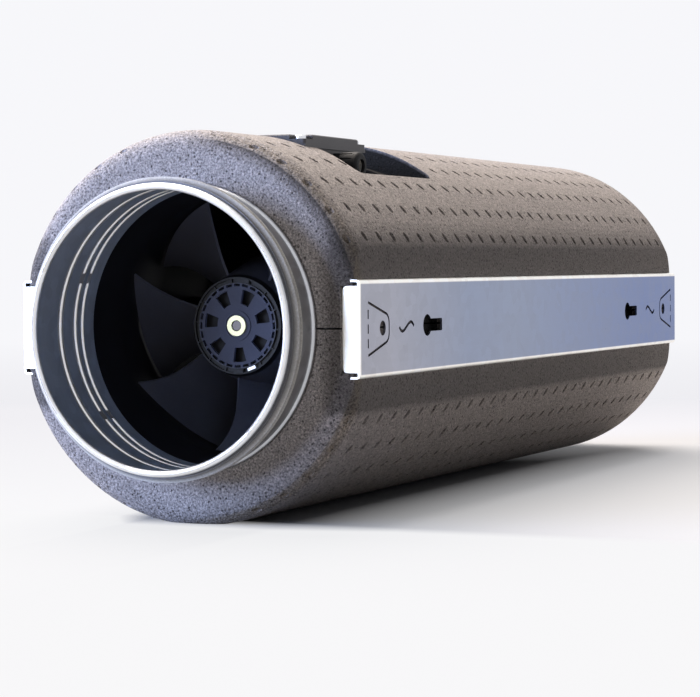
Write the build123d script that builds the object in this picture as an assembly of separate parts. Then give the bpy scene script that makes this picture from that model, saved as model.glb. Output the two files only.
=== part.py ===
from build123d import *
from math import atan2, cos, degrees, hypot, pi, radians, sin, sqrt
import os

# Silent inline duct fan for a 200 mm round duct: a mixed-flow fan wheel and its motor in a moulded
# housing, held between two foam half shells, with a steel collar at each end, a lined silencer behind
# the fan, a terminal box let into the top and a steel mounting rail along each side.
#
# Millimetres. Every piece is drawn about the fan axis, with Y running from the inlet rim into the fan,
# X to the right as seen from the inlet and Z up. "place" then puts the floor at z = 0 and the middle of
# the length at y = 0. Angles "theta" run from +X towards +Z, counter-clockwise as seen from the inlet.

# ---------------------------------------------------------------- fits
FIT = 0.25                # loose fit between pieces that do not move on each other
RUN = 0.04                # radial running clearance of shafts and balls
TIP_GAP = 1.5             # fan wheel to housing
SEAM = 40.0               # degrees from +X to the seam of a cylinder along Y

# ---------------------------------------------------------------- foam body
BODY_R = 137.8
BODY_LEN = 747.0
BODY_EDGE_R = 18.0        # rounding of both ends
SIDE_FLAT_X = 126.5       # flat stretch behind each rail
FOOT_W = 46.0             # flat underneath
PEG_R = 4.5
PEG_H = 9.0
PEG_INSET = 24.0          # from each end face to the end pegs

# ---------------------------------------------------------------- collars and their lip seals
COLLAR_R = 99.5           # outside, for a duct of 200 mm
COLLAR_T = 0.9
COLLAR_REACH = 41.0       # rim to body
COLLAR_DEPTH = 44.0       # inside the body
RIM_CURL_R = 2.4
RIM_GROOVE_W = 0.5
BEAD_R = 2.9              # outer radius of a pressed bead's round
BEAD_RISE = 1.8           # how far a bead stands out of the collar
STOP_BEAD_BACK = 1.4      # stop bead's centre ahead of the body
ANCHOR_BEADS = (18.5, 28.2)   # depths of the two anchoring beads inside the body
ANCHOR_BREAKS = 6
ANCHOR_BREAK_W = 7.5
ANCHOR_BREAK_THETA = 39.3
COLLAR_FLANGE_H = 4.5
SEAL_BASE_T = 1.4
SEAL_LEN = 9.0
SEAL_LIP_R = 103.9
SEAL_LIP_T = 1.0
SEAL_LIP_LEAN = 2.2       # lips lean back towards the body
SEAL_LIPS = (1.2, 5.2)    # starts of the two lips along the seal

# ---------------------------------------------------------------- mounting rails
RAIL_OUT_X = 131.3
RAIL_T = 1.5
RAIL_H = 66.8
RAIL_LEN = 741.8
RAIL_LIP = 14.0           # depth of the long edges, pushed into slots in the foam
RAIL_END_LIP = 12.6
RAIL_END_H = 58.4
RAIL_END_CORNER_R = 3.5
RAIL_BEND_R = 2.4
TAB_BASE = 14.4           # rail end to fold line
TAB_LEN = 35.5
TAB_BASE_H = 36.0
TAB_TIP_H = 17.0
TAB_CORNER_R = 7.0
SLIT_W = 1.8
FOLD_DASHES = 3
FOLD_DASH = 6.2
FOLD_PITCH = 9.9
TAB_HOLE_R = 5.1
TAB_HOLE_AT = 39.0        # rail end to hole
WAVE_AT = 80.8            # rail end to middle of the wavy slit
WAVE_LEN = 26.0
WAVE_H = 3.0
WAVE_W = 2.2
KEY_HEAD_R = 7.75
KEY_SLOT_W = 9.0
KEY_SLOT_CORNER_R = 1.5
KEY_REACH = 28.0          # head centre to end of slot
KEY_AT = 118.8            # rail's inlet end to the first head
KEY_PITCH = 473.0
KEY_POCKET = 8.0          # foam pocket behind a keyhole
KEY_POCKET_MARGIN = 3.0
RAIL_PAD_H = 58.0         # foam pad between the rail's long edges

# ---------------------------------------------------------------- fan housing (inlet cone and vane ring)
WALL = 2.5
THROAT_R = 93.5
CONE_LEN = 34.0           # collar's inner end to throat
SHROUD_LEN = 71.0         # throat to vane ring
VANE_RING_R = 104.0
VANE_RING_LEN = 68.0
NOZZLE_LEN = 27.0         # vane ring down to the silencer's bore
BORE_R = 100.0            # silencer bore
HOUSING_FLANGE_H = 6.0
HOUSING_FLANGE_T = 3.0
ISOLATOR_T = 4.0
EAR_R = 6.5
EAR_OUT = 3.5             # ear centre outside the wall
EAR_T = 4.0
EAR_THETAS = (25.0, 155.0, 205.0, 335.0)
HOUSING_SCREW_R = 2.0
HOUSING_SCREW_HEAD_R = 3.5

# ---------------------------------------------------------------- fan wheel
HUB_SETBACK = 1.6         # throat to the wheel's front
HUB_LEN = 62.0
HUB_RING_R = 35.2
HUB_NOSE_R = 36.5
HUB_BACK_R = 51.4
HUB_WALL = 2.4
DISC_T = 2.6
WINDOWS = 7
WINDOW_IN_R = 16.0
WINDOW_OUT_R = 26.3
WINDOW_SPAN = 23.0        # degrees
WINDOW_THETA = 17.0
SLOTS = 28
SLOT_IN_R = 28.5
SLOT_OUT_R = 30.4
SLOT_SPAN = 9.2           # degrees
GROOVE_IN_R = 31.3
GROOVE_OUT_R = 34.0
GROOVE_DEPTH = 1.7
GROOVE_RIBS = 14
GROOVE_RIB_W = 1.0
GROOVE_RIB_THETA = 21.0
BOSS_R = 12.0
BOSS_RING_IN_R = 8.9
BOSS_RING_OUT_R = 11.0
BOSS_RING_H = 0.8
WEIGHT_W = 6.5
WEIGHT_AT = 10.5          # ribs round from the first
LUG_THETAS = (78.4, 272.0)
LUG_W = 7.0
LUG_H = 0.8
BLADES = 7
BLADE_T = 2.8
BLADE_EDGE = 0.2          # thickness that the edges keep, as a share
BLADE_TWIST = 0.79        # degrees per mm along the axis
BLADE_ROOT_LEAD = 10.4    # wheel's front to the leading edge at the hub
BLADE_TIP_SWEEP = 10.5    # how far the tip's leading edge runs forward of it
BLADE_SWEEP_FROM_R = 62.0
BLADE_SWEEP_TO_R = 91.5
BLADE_BACK = 59.4         # wheel's front to the trailing edges
BLADE_LEAD_THETA = 109.7
BLADE_LEAD_SKEW = 5.2     # degrees that the tip's leading edge lies ahead of the middle
BLADE_SKEW_FROM_R = 54.0
BLADE_MID_TURN = 37.5     # leading edge to the blade's middle, less a quarter turn

# ---------------------------------------------------------------- motor
SHAFT_R = 4.0
SHAFT_CHAMFER = 0.6
BUSH_R = 7.4
BUSH_PROUD = 1.5
SHAFT_RECESS = 0.9        # shaft's end inside the bush
CAN_R = 34.0
CAN_T = 1.5
CAN_SETBACK = 6.4         # wheel's front to the can
CAN_LEN = 42.0
MAGNETS = 8
MAGNET_T = 3.0
MAGNET_LEN = 34.0
MAGNET_GAP = 1.2
MAGNET_INSET = 3.5        # can's inside to the magnets
AIR_GAP = 0.5
CORE_LEN = 26.0
CORE_YOKE_R = 18.0
TEETH = 12
TOOTH_W = 4.2
SHOE_T = 3.0
SHOE_GAP = 2.6
COIL_W = 8.6
COIL_END = 3.0            # coil past the core
COIL_CLEAR = 0.3
COIL_PARTING = 1.2        # degrees between two coils
BEARING_OUT_R = 11.0
BEARING_W = 7.0
BEARING_PITCH_R = 7.5
BALL_R = 2.0
BALLS = 7
BEARING_IN_SHOULDER_R = 6.1
BEARING_OUT_SHOULDER_R = 8.9
CAGE_W = 5.0
CAGE_T = 1.5
TUBE_R = 13.0
TUBE_SHOULDER_R = 9.8
BEARING_SPAN = 34.0       # front bearing's face to rear bearing's face
CAN_TO_BEARING = 5.1      # can's inside face to the front bearing
SPRING_T = 0.6
SPRING_IN_R = 9.9
CLIP_T = 0.8
CLIP_R = 5.8
CLIP_GROOVE_R = 3.5
SHAFT_TAIL = 4.0          # shaft past the rear circlip
HUB_TO_FLANGE = 2.0       # turning hub to the fixed hub
MOTOR_FLANGE_R = 50.3
MOTOR_FLANGE_T = 4.0
MOTOR_SCREWS = 4
MOTOR_SCREW_R = 2.0
MOTOR_SCREW_HEAD_R = 3.7
MOTOR_SCREW_AT_R = 46.2
MOTOR_SCREW_LEN = 11.0

# ---------------------------------------------------------------- electronics behind the motor
POT_R = 42.0
POT_WALL = 2.0
POT_LEN = 38.0
POT_FLANGE_T = 3.0
BOARD_R = 39.6
BOARD_T = 1.6
BOARD_AT = 8.0            # motor flange to the board
BOARD_LEDGE_R = 35.5
BOARD_SCREWS = 3
BOARD_SCREW_R = 1.2
BOARD_SCREW_HEAD_R = 1.9
CAP_R = 6.5
CAP_LEN = 20.0
CHOKE = (16.0, 14.0, 12.0)

# ---------------------------------------------------------------- fixed hub, vanes and tail cone
FIXED_HUB_R = 53.0
HUB_SHORT = 2.0           # fixed hub's end ahead of the vane ring's end
BULKHEAD_T = 4.0
BULKHEAD_IN_R = 42.6
VANES = 9                 # one of the places holds the cable strut
VANE_T = 2.4
VANE_LEN = 52.0
VANE_SWEEP = 14.0
VANE_FRONT = 7.0          # vane ring's front to the vanes
STRUT_W = 12.0
STRUT_LEN = 30.0
TAIL_LEN = 74.0
TAIL_END_R = 22.0
TAIL_PLUG = 6.0
TAIL_WALL = 2.0

# ---------------------------------------------------------------- silencer
LINING_R = 118.7
LINING_INSET = 0.3

# ---------------------------------------------------------------- terminal box, let into the top
BOX_W = 100.0
BOX_LEN = 106.0
BOX_FRONT = 91.0          # body's inlet face to the box
BOX_TOP = 137.4           # lid's top above the fan axis
LID_H = 6.9
LID_STEP_LEN = 14.0
LID_STEP_H = 3.4
LID_WALL = 2.4
BOX_LEDGE = 2.0           # rim standing out of the box's walls
BOX_LEDGE_H = 2.5
BOX_WALL = 2.5
BOX_SADDLE_R = 111.0      # round underside
LID_SEAL_W = 2.0
LID_SEAL_H = 1.0
LID_SCREW_INSET = 7.0
LID_SCREW_R = 2.0
LID_SCREW_HEAD_R = 4.3
LID_SCREW_HEAD_H = 3.0
LID_SCREW_LEN = 12.0
LID_NOTCH = 12.5
LID_CORNER_R = 2.0
LID_CHAMFER = 0.8
POST_R = 4.6
PAD_MARGIN = 1.5
POCKET_HALF_W = 84.0      # scooped pocket round the box
POCKET_FRONT = 109.0      # body's inlet face to the pocket
POCKET_BACK = 249.0
POCKET_FLOOR_R = 113.0
POCKET_STEP_R = 122.0      # floor over the housing's rear flange and the lining
POCKET_STEP_AHEAD = 10.0   # step's place ahead of the housing's end
POCKET_CORNER_R = 8.0
BOX_BOSS_X = 30.0
BOX_BOSS_R = 5.0
BOX_BOSS_TOP = 107.6
BOX_BOSS_DEPTH = 5.2      # screw hole in each boss
BOX_BOSS_AT = (24.0, 84.0)   # along the box
BOX_SCREW_R = 1.8
BOX_SCREW_HEAD_R = 3.6
BOX_SCREW_HEAD_H = 2.4
BOX_SCREW_LEN = 7.5
BOX_PAD_TOP = 110.4

# ---------------------------------------------------------------- gland, plug, cable and inner fittings
GLAND_AT = 58.0           # along the box
GLAND_Z = 116.0
GLAND_THREAD_R = 8.0
GLAND_HEX_R = 11.0        # across corners
GLAND_HEX_T = 5.0
GLAND_NECK_R = 7.6
GLAND_NECK_LEN = 8.0
GLAND_NUT_R = 10.4
GLAND_NUT_LEN = 15.0
GLAND_BORE_R = 5.2
GLAND_SEAL_R = 6.6
GLAND_SEAL_BORE_R = 3.6
GLAND_LIP_T = 2.5
GLAND_GRIPS = 12
LOCKNUT_T = 4.0
LOCKNUT_R = 10.2
PLUG_HEAD_T = 3.0
CABLE_R = 3.5
CABLE_AT = 75.0           # along the box
CABLE_START_Z = 30.0
CABLE_BEND_R = 7.0
GROMMET_R = 5.5
GROMMET_FLANGE_R = 7.6
GROMMET_FLANGE_T = 1.4
BLOCK = (44.0, 16.0, 12.0)
BLOCK_AT = 47.0           # along the box
BLOCK_POLES = 5
BLOCK_SCREW_R = 2.2
BLOCK_WIRE_R = 2.0
PAD_TOP = 116.2           # flat pads on the box's floor
TRIMMER_AT = (12.0, 18.0)    # across and along the box
TRIMMER_BODY = (14.0, 14.0, 7.0)
TRIMMER_SHAFT_R = 2.0
TRIMMER_KNOB_R = 5.0
TRIMMER_KNOB_H = 5.0
TRIMMER_GAP = 0.3
EARTH_AT = (-12.0, 18.0)
EARTH_PLATE = (12.0, 10.0, 1.2)
EARTH_SCREW_R = 2.0
EARTH_SCREW_LEN = 5.0
EARTH_SCREW_HEAD_R = 3.6

# ---------------------------------------------------------------- stations along Y, worked out
RIM_IN = 0.0
FACE_IN = COLLAR_REACH
FACE_OUT = FACE_IN + BODY_LEN
RIM_OUT = FACE_OUT + COLLAR_REACH
COLLAR_END = FACE_IN + COLLAR_DEPTH
CONE_FRONT = COLLAR_END + FIT
THROAT = CONE_FRONT + CONE_LEN
RING_FRONT = THROAT + SHROUD_LEN
RING_BACK = RING_FRONT + VANE_RING_LEN
HOUSING_BACK = RING_BACK + NOZZLE_LEN
LINING_BACK = FACE_OUT - COLLAR_DEPTH - LINING_INSET
WHEEL = THROAT + HUB_SETBACK
WHEEL_BACK = WHEEL + HUB_LEN
CAN_FRONT = WHEEL + CAN_SETBACK
BEARING_1 = CAN_FRONT + CAN_T + CAN_TO_BEARING
BEARING_2 = BEARING_1 + BEARING_SPAN
FIXED_HUB = WHEEL_BACK + HUB_TO_FLANGE
FIXED_HUB_BACK = RING_BACK - HUB_SHORT
POT_FRONT = FIXED_HUB + MOTOR_FLANGE_T
BULKHEAD = POT_FRONT + POT_FLANGE_T
BOARD = POT_FRONT + BOARD_AT
BOX_Y = FACE_IN + BOX_FRONT
CABLE_Y = BOX_Y + CABLE_AT
RAIL_FRONT = FACE_IN + (BODY_LEN - RAIL_LEN) / 2
AXIS_H = sqrt(BODY_R ** 2 - (FOOT_W / 2) ** 2)

COLLAR_BORE_R = COLLAR_R - COLLAR_T
HOUSING_R = VANE_RING_R + WALL
FLANGE_R = HOUSING_R + HOUSING_FLANGE_H
EAR_AT_R = HOUSING_R + EAR_OUT
LID_BOTTOM = BOX_TOP - LID_H
RAIL_IN_X = RAIL_OUT_X - RAIL_T
STATOR_R = CAN_R - CAN_T - MAGNET_T - AIR_GAP


# ---------------------------------------------------------------- drawing helpers
def solid_of(edges):
    """Turn a closed outline, drawn as radius across and station up, about the fan axis."""
    return revolve(make_face(edges), Axis.Y)


def turned(*points):
    return solid_of(Polyline(*points, close=True))


def tube(inner, outer, start, end):
    return turned((inner, start), (outer, start), (outer, end), (inner, end))


def rod(radius, start, end, x=0.0, z=0.0):
    """Cylinder along Y, its seam kept out of the plane that parts the foam body."""
    return Pos(x, (start + end) / 2, z) * Rot(90, 0, 0) * Rot(0, 0, SEAM) * Cylinder(radius, end - start)


def rod_x(radius, start, end, y, z):
    return Pos((start + end) / 2, y, z) * Rot(0, 90, 0) * Cylinder(radius, end - start)


def rod_z(radius, start, end, x, y):
    return Pos(x, y, (start + end) / 2) * Cylinder(radius, end - start)


def block(x0, x1, y0, y1, z0, z1):
    return Pos((x0 + x1) / 2, (y0 + y1) / 2, (z0 + z1) / 2) * Box(x1 - x0, y1 - y0, z1 - z0)


def at_theta(part, theta):
    """Swing a piece drawn at +X round the fan axis to the angle theta."""
    return Rot(0, -theta, 0) * part


def swung(part, theta):
    """Swing a piece drawn at +Z (theta = 90) to the angle theta."""
    return at_theta(part, theta - 90)


def ring_of(part, count, first=0.0):
    return [at_theta(part, first + 360 / count * i) for i in range(count)]


def sector(inner, outer, span, start, end):
    """Part of a tube, centred on +X, that spans so many degrees."""
    outline = Polyline((inner, start), (outer, start), (outer, end), (inner, end), close=True)
    return Rot(0, -span / 2, 0) * revolve(make_face(outline), Axis.Y, span)


def group(pieces):
    return Compound([solid for piece in pieces for solid in piece.solids()])


def mirrored(part):
    """The same piece at the outlet end."""
    return mirror(part, Plane.XZ.offset(-(RIM_IN + RIM_OUT) / 2))


def smooth_step(r0, y0, r1, y1):
    """A wall line that leaves and arrives along the axis."""
    third = (y1 - y0) / 3
    return Bezier((r0, y0), (r0, y0 + third), (r1, y1 - third), (r1, y1))


# ---------------------------------------------------------------- collars
def bead_at(station, breaks):
    """A pressed bead: the hollow ring that is added, and the slot it takes out of the collar."""
    centre = COLLAR_R + BEAD_RISE - BEAD_R
    middle = COLLAR_R - COLLAR_T / 2
    over = block(-BODY_R, BODY_R, station - BEAD_R, station + BEAD_R, -BODY_R, BODY_R)
    band = (over & tube(middle, COLLAR_R + BEAD_R, station - BEAD_R, station + BEAD_R))
    outer = solid_of(Pos(centre, station) * Circle(BEAD_R).edge())
    inner = solid_of(Pos(centre, station) * Circle(BEAD_R - COLLAR_T).edge())
    chord = sqrt((BEAD_R - COLLAR_T) ** 2 - (middle - centre) ** 2)
    slot = tube(COLLAR_BORE_R - COLLAR_T, COLLAR_R + COLLAR_T, station - chord, station + chord)
    if breaks:
        bar = block(THROAT_R, BODY_R, station - BODY_EDGE_R, station + BODY_EDGE_R,
                    -ANCHOR_BREAK_W / 2, ANCHOR_BREAK_W / 2)
        for bridge in ring_of(bar, ANCHOR_BREAKS, ANCHOR_BREAK_THETA):
            outer -= bridge
            slot -= bridge
    return (outer & band) - inner, slot


def collar():
    """Steel collar with a curled rim, a stop bead outside the body and two anchoring beads inside it."""
    flange = COLLAR_T
    part = tube(COLLAR_BORE_R, COLLAR_R, RIM_CURL_R, COLLAR_END)
    beads = [bead_at(FACE_IN - STOP_BEAD_BACK - FIT, False)]
    beads += [bead_at(FACE_IN + depth, True) for depth in ANCHOR_BEADS]
    for bead, slot in beads:
        part = part - slot + bead
    curl = solid_of(Pos(COLLAR_R - RIM_CURL_R, RIM_CURL_R) * Circle(RIM_CURL_R).edge())
    groove = tube(COLLAR_R - RIM_CURL_R - RIM_GROOVE_W / 2, COLLAR_R - RIM_CURL_R + RIM_GROOVE_W / 2,
                  RIM_IN, RIM_CURL_R / 2)
    part = part + (curl - groove)
    return part + tube(COLLAR_BORE_R, COLLAR_R + COLLAR_FLANGE_H, COLLAR_END - flange, COLLAR_END)


def lip_seal():
    """Rubber ring behind the rim with two lips that lean back and press on the duct."""
    start = 2 * RIM_CURL_R + FIT / 2
    base = tube(COLLAR_R, COLLAR_R + SEAL_BASE_T, start, start + SEAL_LEN)
    for at in SEAL_LIPS:
        y = start + at
        tip = y + SEAL_LIP_LEAN
        base += turned((COLLAR_R + SEAL_BASE_T / 2, y), (SEAL_LIP_R, tip), (SEAL_LIP_R, tip + SEAL_LIP_T),
                       (COLLAR_R + SEAL_BASE_T / 2, y + SEAL_LIP_T))
    return base


# ---------------------------------------------------------------- fan housing
def bell_line(offset):
    return smooth_step(COLLAR_BORE_R + offset, CONE_FRONT, THROAT_R + offset, THROAT)


def shroud_line(offset):
    return smooth_step(THROAT_R + offset, THROAT, VANE_RING_R + offset, RING_FRONT)


def wall_core():
    """Everything inside the middle of the housing's wall, from the throat to the vane ring's end."""
    mid = WALL / 2
    ring = Line((VANE_RING_R + mid, RING_FRONT), (VANE_RING_R + mid, RING_BACK))
    ends = Polyline((VANE_RING_R + mid, RING_BACK), (0, RING_BACK), (0, THROAT), (THROAT_R + mid, THROAT))
    return solid_of([shroud_line(mid), ring, ends])


def box_bosses(part, start, end):
    """Add the bosses that carry the terminal box to the piece that spans these stations."""
    for x, y in box_screw_places():
        if start < y < end:
            part += rod_z(BOX_BOSS_R, THROAT_R - BOX_BOSS_X / 2, BOX_BOSS_TOP, x, y) - wall_core()
            part -= rod_z(BOX_SCREW_R, BOX_BOSS_TOP - BOX_BOSS_DEPTH, BOX_BOSS_TOP, x, y)
    return part


def housing_ear(start):
    """One screw ear, drawn at theta = 0."""
    lug = rod(EAR_R, start, start + EAR_T, EAR_AT_R) + block(HOUSING_R - WALL / 2, EAR_AT_R, start,
                                                             start + EAR_T, -EAR_R, EAR_R)
    return lug - tube(0, HOUSING_R - WALL / 2, start, start + EAR_T)


def inlet_cone():
    """Bell from the collar down to the throat, then the shroud that follows the fan wheel outwards."""
    bell = bell_line(0)
    shroud = shroud_line(0)
    outer = Line((VANE_RING_R, RING_FRONT), (HOUSING_R, RING_FRONT))
    front = Line((COLLAR_BORE_R + WALL, CONE_FRONT), (COLLAR_BORE_R, CONE_FRONT))
    part = solid_of([bell, shroud, outer, shroud_line(WALL), bell_line(WALL), front])
    part += tube(COLLAR_BORE_R + WALL / 2, FLANGE_R, CONE_FRONT, CONE_FRONT + HOUSING_FLANGE_T)
    hole = rod(HOUSING_SCREW_R + FIT, RING_FRONT - 2 * EAR_T, RING_FRONT + EAR_T, EAR_AT_R)
    for theta in EAR_THETAS:
        part += at_theta(housing_ear(RING_FRONT - EAR_T), theta)
        part -= at_theta(hole, theta)
    return box_bosses(part, CONE_FRONT, RING_FRONT)


def vane():
    """One fixed vane, drawn at theta = 90, that turns the air back along the axis."""
    front = RING_FRONT + VANE_FRONT
    back = front + VANE_LEN
    rows = [i / 6 for i in range(7)]
    left = [(-VANE_SWEEP * (1 - u) ** 2 - VANE_T / 2, front + u * VANE_LEN) for u in rows]
    right = [(x + VANE_T, y) for x, y in left]
    face = make_face([Spline(*left), Line(left[-1], right[-1]), Spline(*right), Line(right[0], left[0])])
    body = Pos(0, 0, FIXED_HUB_R - WALL) * extrude(face, VANE_RING_R + WALL / 2 - FIXED_HUB_R + WALL)
    keep = tube(FIXED_HUB_R - WALL / 2, VANE_RING_R + WALL / 2, front - WALL, back + WALL)
    return body & keep


def cable_strut():
    """Hollow strut at the top that carries the motor cable across the air path."""
    shape = Pos(0, CABLE_Y) * Rot(0, 0, 90) * SlotOverall(STRUT_LEN, STRUT_W)
    strut = Pos(0, 0, FIXED_HUB_R - WALL) * extrude(shape, VANE_RING_R + WALL / 2 - FIXED_HUB_R + WALL)
    keep = tube(FIXED_HUB_R - WALL / 2, VANE_RING_R + WALL / 2, RING_FRONT, RING_BACK)
    return strut & keep


def motor_screw_places():
    return [(MOTOR_SCREW_AT_R * cos(radians(a)), MOTOR_SCREW_AT_R * sin(radians(a)))
            for a in [45 + 360 / MOTOR_SCREWS * i for i in range(MOTOR_SCREWS)]]


def vane_housing():
    """Outer ring, fixed hub with its bulkhead, the vanes between them and the nozzle to the silencer."""
    part = tube(VANE_RING_R, HOUSING_R, RING_FRONT, RING_BACK)
    inner = smooth_step(VANE_RING_R, RING_BACK, BORE_R, HOUSING_BACK)
    part += solid_of([inner, Line((BORE_R, HOUSING_BACK), (HOUSING_R, HOUSING_BACK)),
                      Line((HOUSING_R, HOUSING_BACK), (HOUSING_R, RING_BACK)),
                      Line((HOUSING_R, RING_BACK), (VANE_RING_R, RING_BACK))])
    part += tube(HOUSING_R - WALL / 2, FLANGE_R, HOUSING_BACK - HOUSING_FLANGE_T, HOUSING_BACK)
    hole = rod(HOUSING_SCREW_R, RING_FRONT - EAR_T, RING_FRONT + 2 * EAR_T, EAR_AT_R)
    for theta in EAR_THETAS:
        part += at_theta(housing_ear(RING_FRONT), theta)
        part -= at_theta(hole, theta)
    part += tube(FIXED_HUB_R - WALL, FIXED_HUB_R, FIXED_HUB, FIXED_HUB_BACK)
    part += tube(BULKHEAD_IN_R, FIXED_HUB_R - WALL / 2, BULKHEAD, BULKHEAD + BULKHEAD_T)
    for i in range(1, VANES):
        part += swung(vane(), 90 + 360 / VANES * i)
    part += cable_strut()
    part -= rod_z(CABLE_R + FIT, FIXED_HUB_R / 2, BODY_R, 0, CABLE_Y)
    for x, z in motor_screw_places():
        part -= rod(MOTOR_SCREW_R, BULKHEAD - WALL, BULKHEAD + 2 * BULKHEAD_T, x, z)
    return box_bosses(part, RING_FRONT, RING_BACK)


def tail_cone():
    """Closed cone behind the fixed hub, plugged into it."""
    start = FIXED_HUB_BACK
    end = start + TAIL_LEN
    nose = Bezier((TAIL_END_R, end - TAIL_END_R / 2), (TAIL_END_R - TAIL_END_R / 4, end), (0, end))
    outer = solid_of([Line((0, start), (FIXED_HUB_R, start)),
                      Bezier((FIXED_HUB_R, start), (FIXED_HUB_R, start + TAIL_LEN / 3),
                             (TAIL_END_R, end - TAIL_END_R / 2)), nose, Line((0, end), (0, start))])
    plug = tube(FIXED_HUB_R - WALL - FIT - TAIL_WALL, FIXED_HUB_R - WALL - FIT, start - TAIL_PLUG, start)
    bore = solid_of([Line((0, start), (FIXED_HUB_R - WALL - FIT - TAIL_WALL, start)),
                     Bezier((FIXED_HUB_R - WALL - FIT - TAIL_WALL, start),
                            (FIXED_HUB_R - WALL - FIT - TAIL_WALL, start + TAIL_LEN / 3),
                            (TAIL_END_R - 2 * TAIL_WALL, end - TAIL_END_R)),
                     Line((TAIL_END_R - 2 * TAIL_WALL, end - TAIL_END_R), (0, end - TAIL_END_R)),
                     Line((0, end - TAIL_END_R), (0, start))])
    return outer - bore + plug


def isolator(start):
    """Foam rubber ring that seats the housing in the body."""
    return tube(HOUSING_R + FIT, FLANGE_R, start, start + ISOLATOR_T)


def housing_screws():
    """Screws that hold the vane ring to the inlet cone."""
    screw = rod(HOUSING_SCREW_R, RING_FRONT - EAR_T, RING_FRONT + EAR_T, EAR_AT_R)
    screw += rod(HOUSING_SCREW_HEAD_R, RING_FRONT - EAR_T - HOUSING_SCREW_R, RING_FRONT - EAR_T, EAR_AT_R)
    return group([at_theta(screw, theta) for theta in EAR_THETAS])


# ---------------------------------------------------------------- fan wheel
def hub_radius(station):
    return HUB_NOSE_R + (HUB_BACK_R - HUB_NOSE_R) * (station - WHEEL) / HUB_LEN


def blade_lead(radius):
    """Station and angle of the leading edge at one radius, for a blade centred on theta = 90."""
    sweep = max(0.0, radius - BLADE_SWEEP_FROM_R) / (BLADE_SWEEP_TO_R - BLADE_SWEEP_FROM_R)
    skew = (radius - BLADE_SKEW_FROM_R) / (BLADE_SWEEP_TO_R - BLADE_SKEW_FROM_R)
    station = WHEEL + BLADE_ROOT_LEAD - BLADE_TIP_SWEEP * sweep ** 2
    return station, BLADE_LEAD_THETA - BLADE_MID_TURN - BLADE_LEAD_SKEW * skew ** 2


def blade_point(height, x):
    """Station and place along the chord of the twisted blade's middle, at x across and height up."""
    radius = hypot(x, height)
    theta = degrees(atan2(height, x))
    lead, lead_theta = blade_lead(radius)
    return lead + (theta - lead_theta) / BLADE_TWIST, theta - lead_theta


def edge_x(height, test):
    """x at which test changes sign, found by halving."""
    low, high = -1.2 * height, 1.2 * height
    for _ in range(40):
        mid = (low + high) / 2
        if test(mid):
            low = mid
        else:
            high = mid
    return low


def blade_section(height):
    """Section of the blade on a flat plane at one height above the axis."""
    lead_x = edge_x(height, lambda x: blade_point(height, x)[1] > 0)
    back_x = edge_x(height, lambda x: blade_point(height, x)[0] > WHEEL + BLADE_BACK)
    count = 8
    middle = []
    for i in range(count + 1):
        x = lead_x + (back_x - lead_x) * i / count
        middle.append((x, blade_point(height, x)[0]))
    one, other = [], []
    for i, (x, y) in enumerate(middle):
        before, after = middle[max(i - 1, 0)], middle[min(i + 1, count)]
        run, rise = after[0] - before[0], after[1] - before[1]
        fullness = sqrt(sin(pi * (i + 1) / (count + 2)))
        half = BLADE_T / 2 * (BLADE_EDGE + (1 - BLADE_EDGE) * fullness)
        along = hypot(run, rise)
        one.append((x - rise / along * half, y + run / along * half))
        other.append((x + rise / along * half, y - run / along * half))
    outline = [Spline(*one), Line(one[-1], other[-1]), Spline(*other), Line(other[0], one[0])]
    return Pos(0, 0, height) * make_face(outline)


def blade():
    """One blade of the fan wheel, drawn round theta = 90 and trimmed to the hub and the shroud."""
    first = HUB_NOSE_R * 0.7
    last = VANE_RING_R
    levels = [first + (last - first) * i / 6 for i in range(7)]
    raw = loft([blade_section(level) for level in levels])
    back = WHEEL + BLADE_BACK
    front = WHEEL - BLADE_TIP_SWEEP
    tip = shroud_line(-TIP_GAP)
    keep = solid_of([Line((HUB_NOSE_R - HUB_WALL / 2, front), (THROAT_R - TIP_GAP, front)),
                     Line((THROAT_R - TIP_GAP, front), (THROAT_R - TIP_GAP, THROAT)), tip,
                     Line((VANE_RING_R - TIP_GAP, RING_FRONT), (HUB_BACK_R, RING_FRONT)),
                     Line((HUB_BACK_R, RING_FRONT), (hub_radius(back) - HUB_WALL / 2, back)),
                     Line((hub_radius(back) - HUB_WALL / 2, back),
                          (hub_radius(WHEEL) - HUB_WALL / 2, WHEEL)),
                     Line((hub_radius(WHEEL) - HUB_WALL / 2, WHEEL), (HUB_NOSE_R - HUB_WALL / 2, front))])
    return raw & keep


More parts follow.
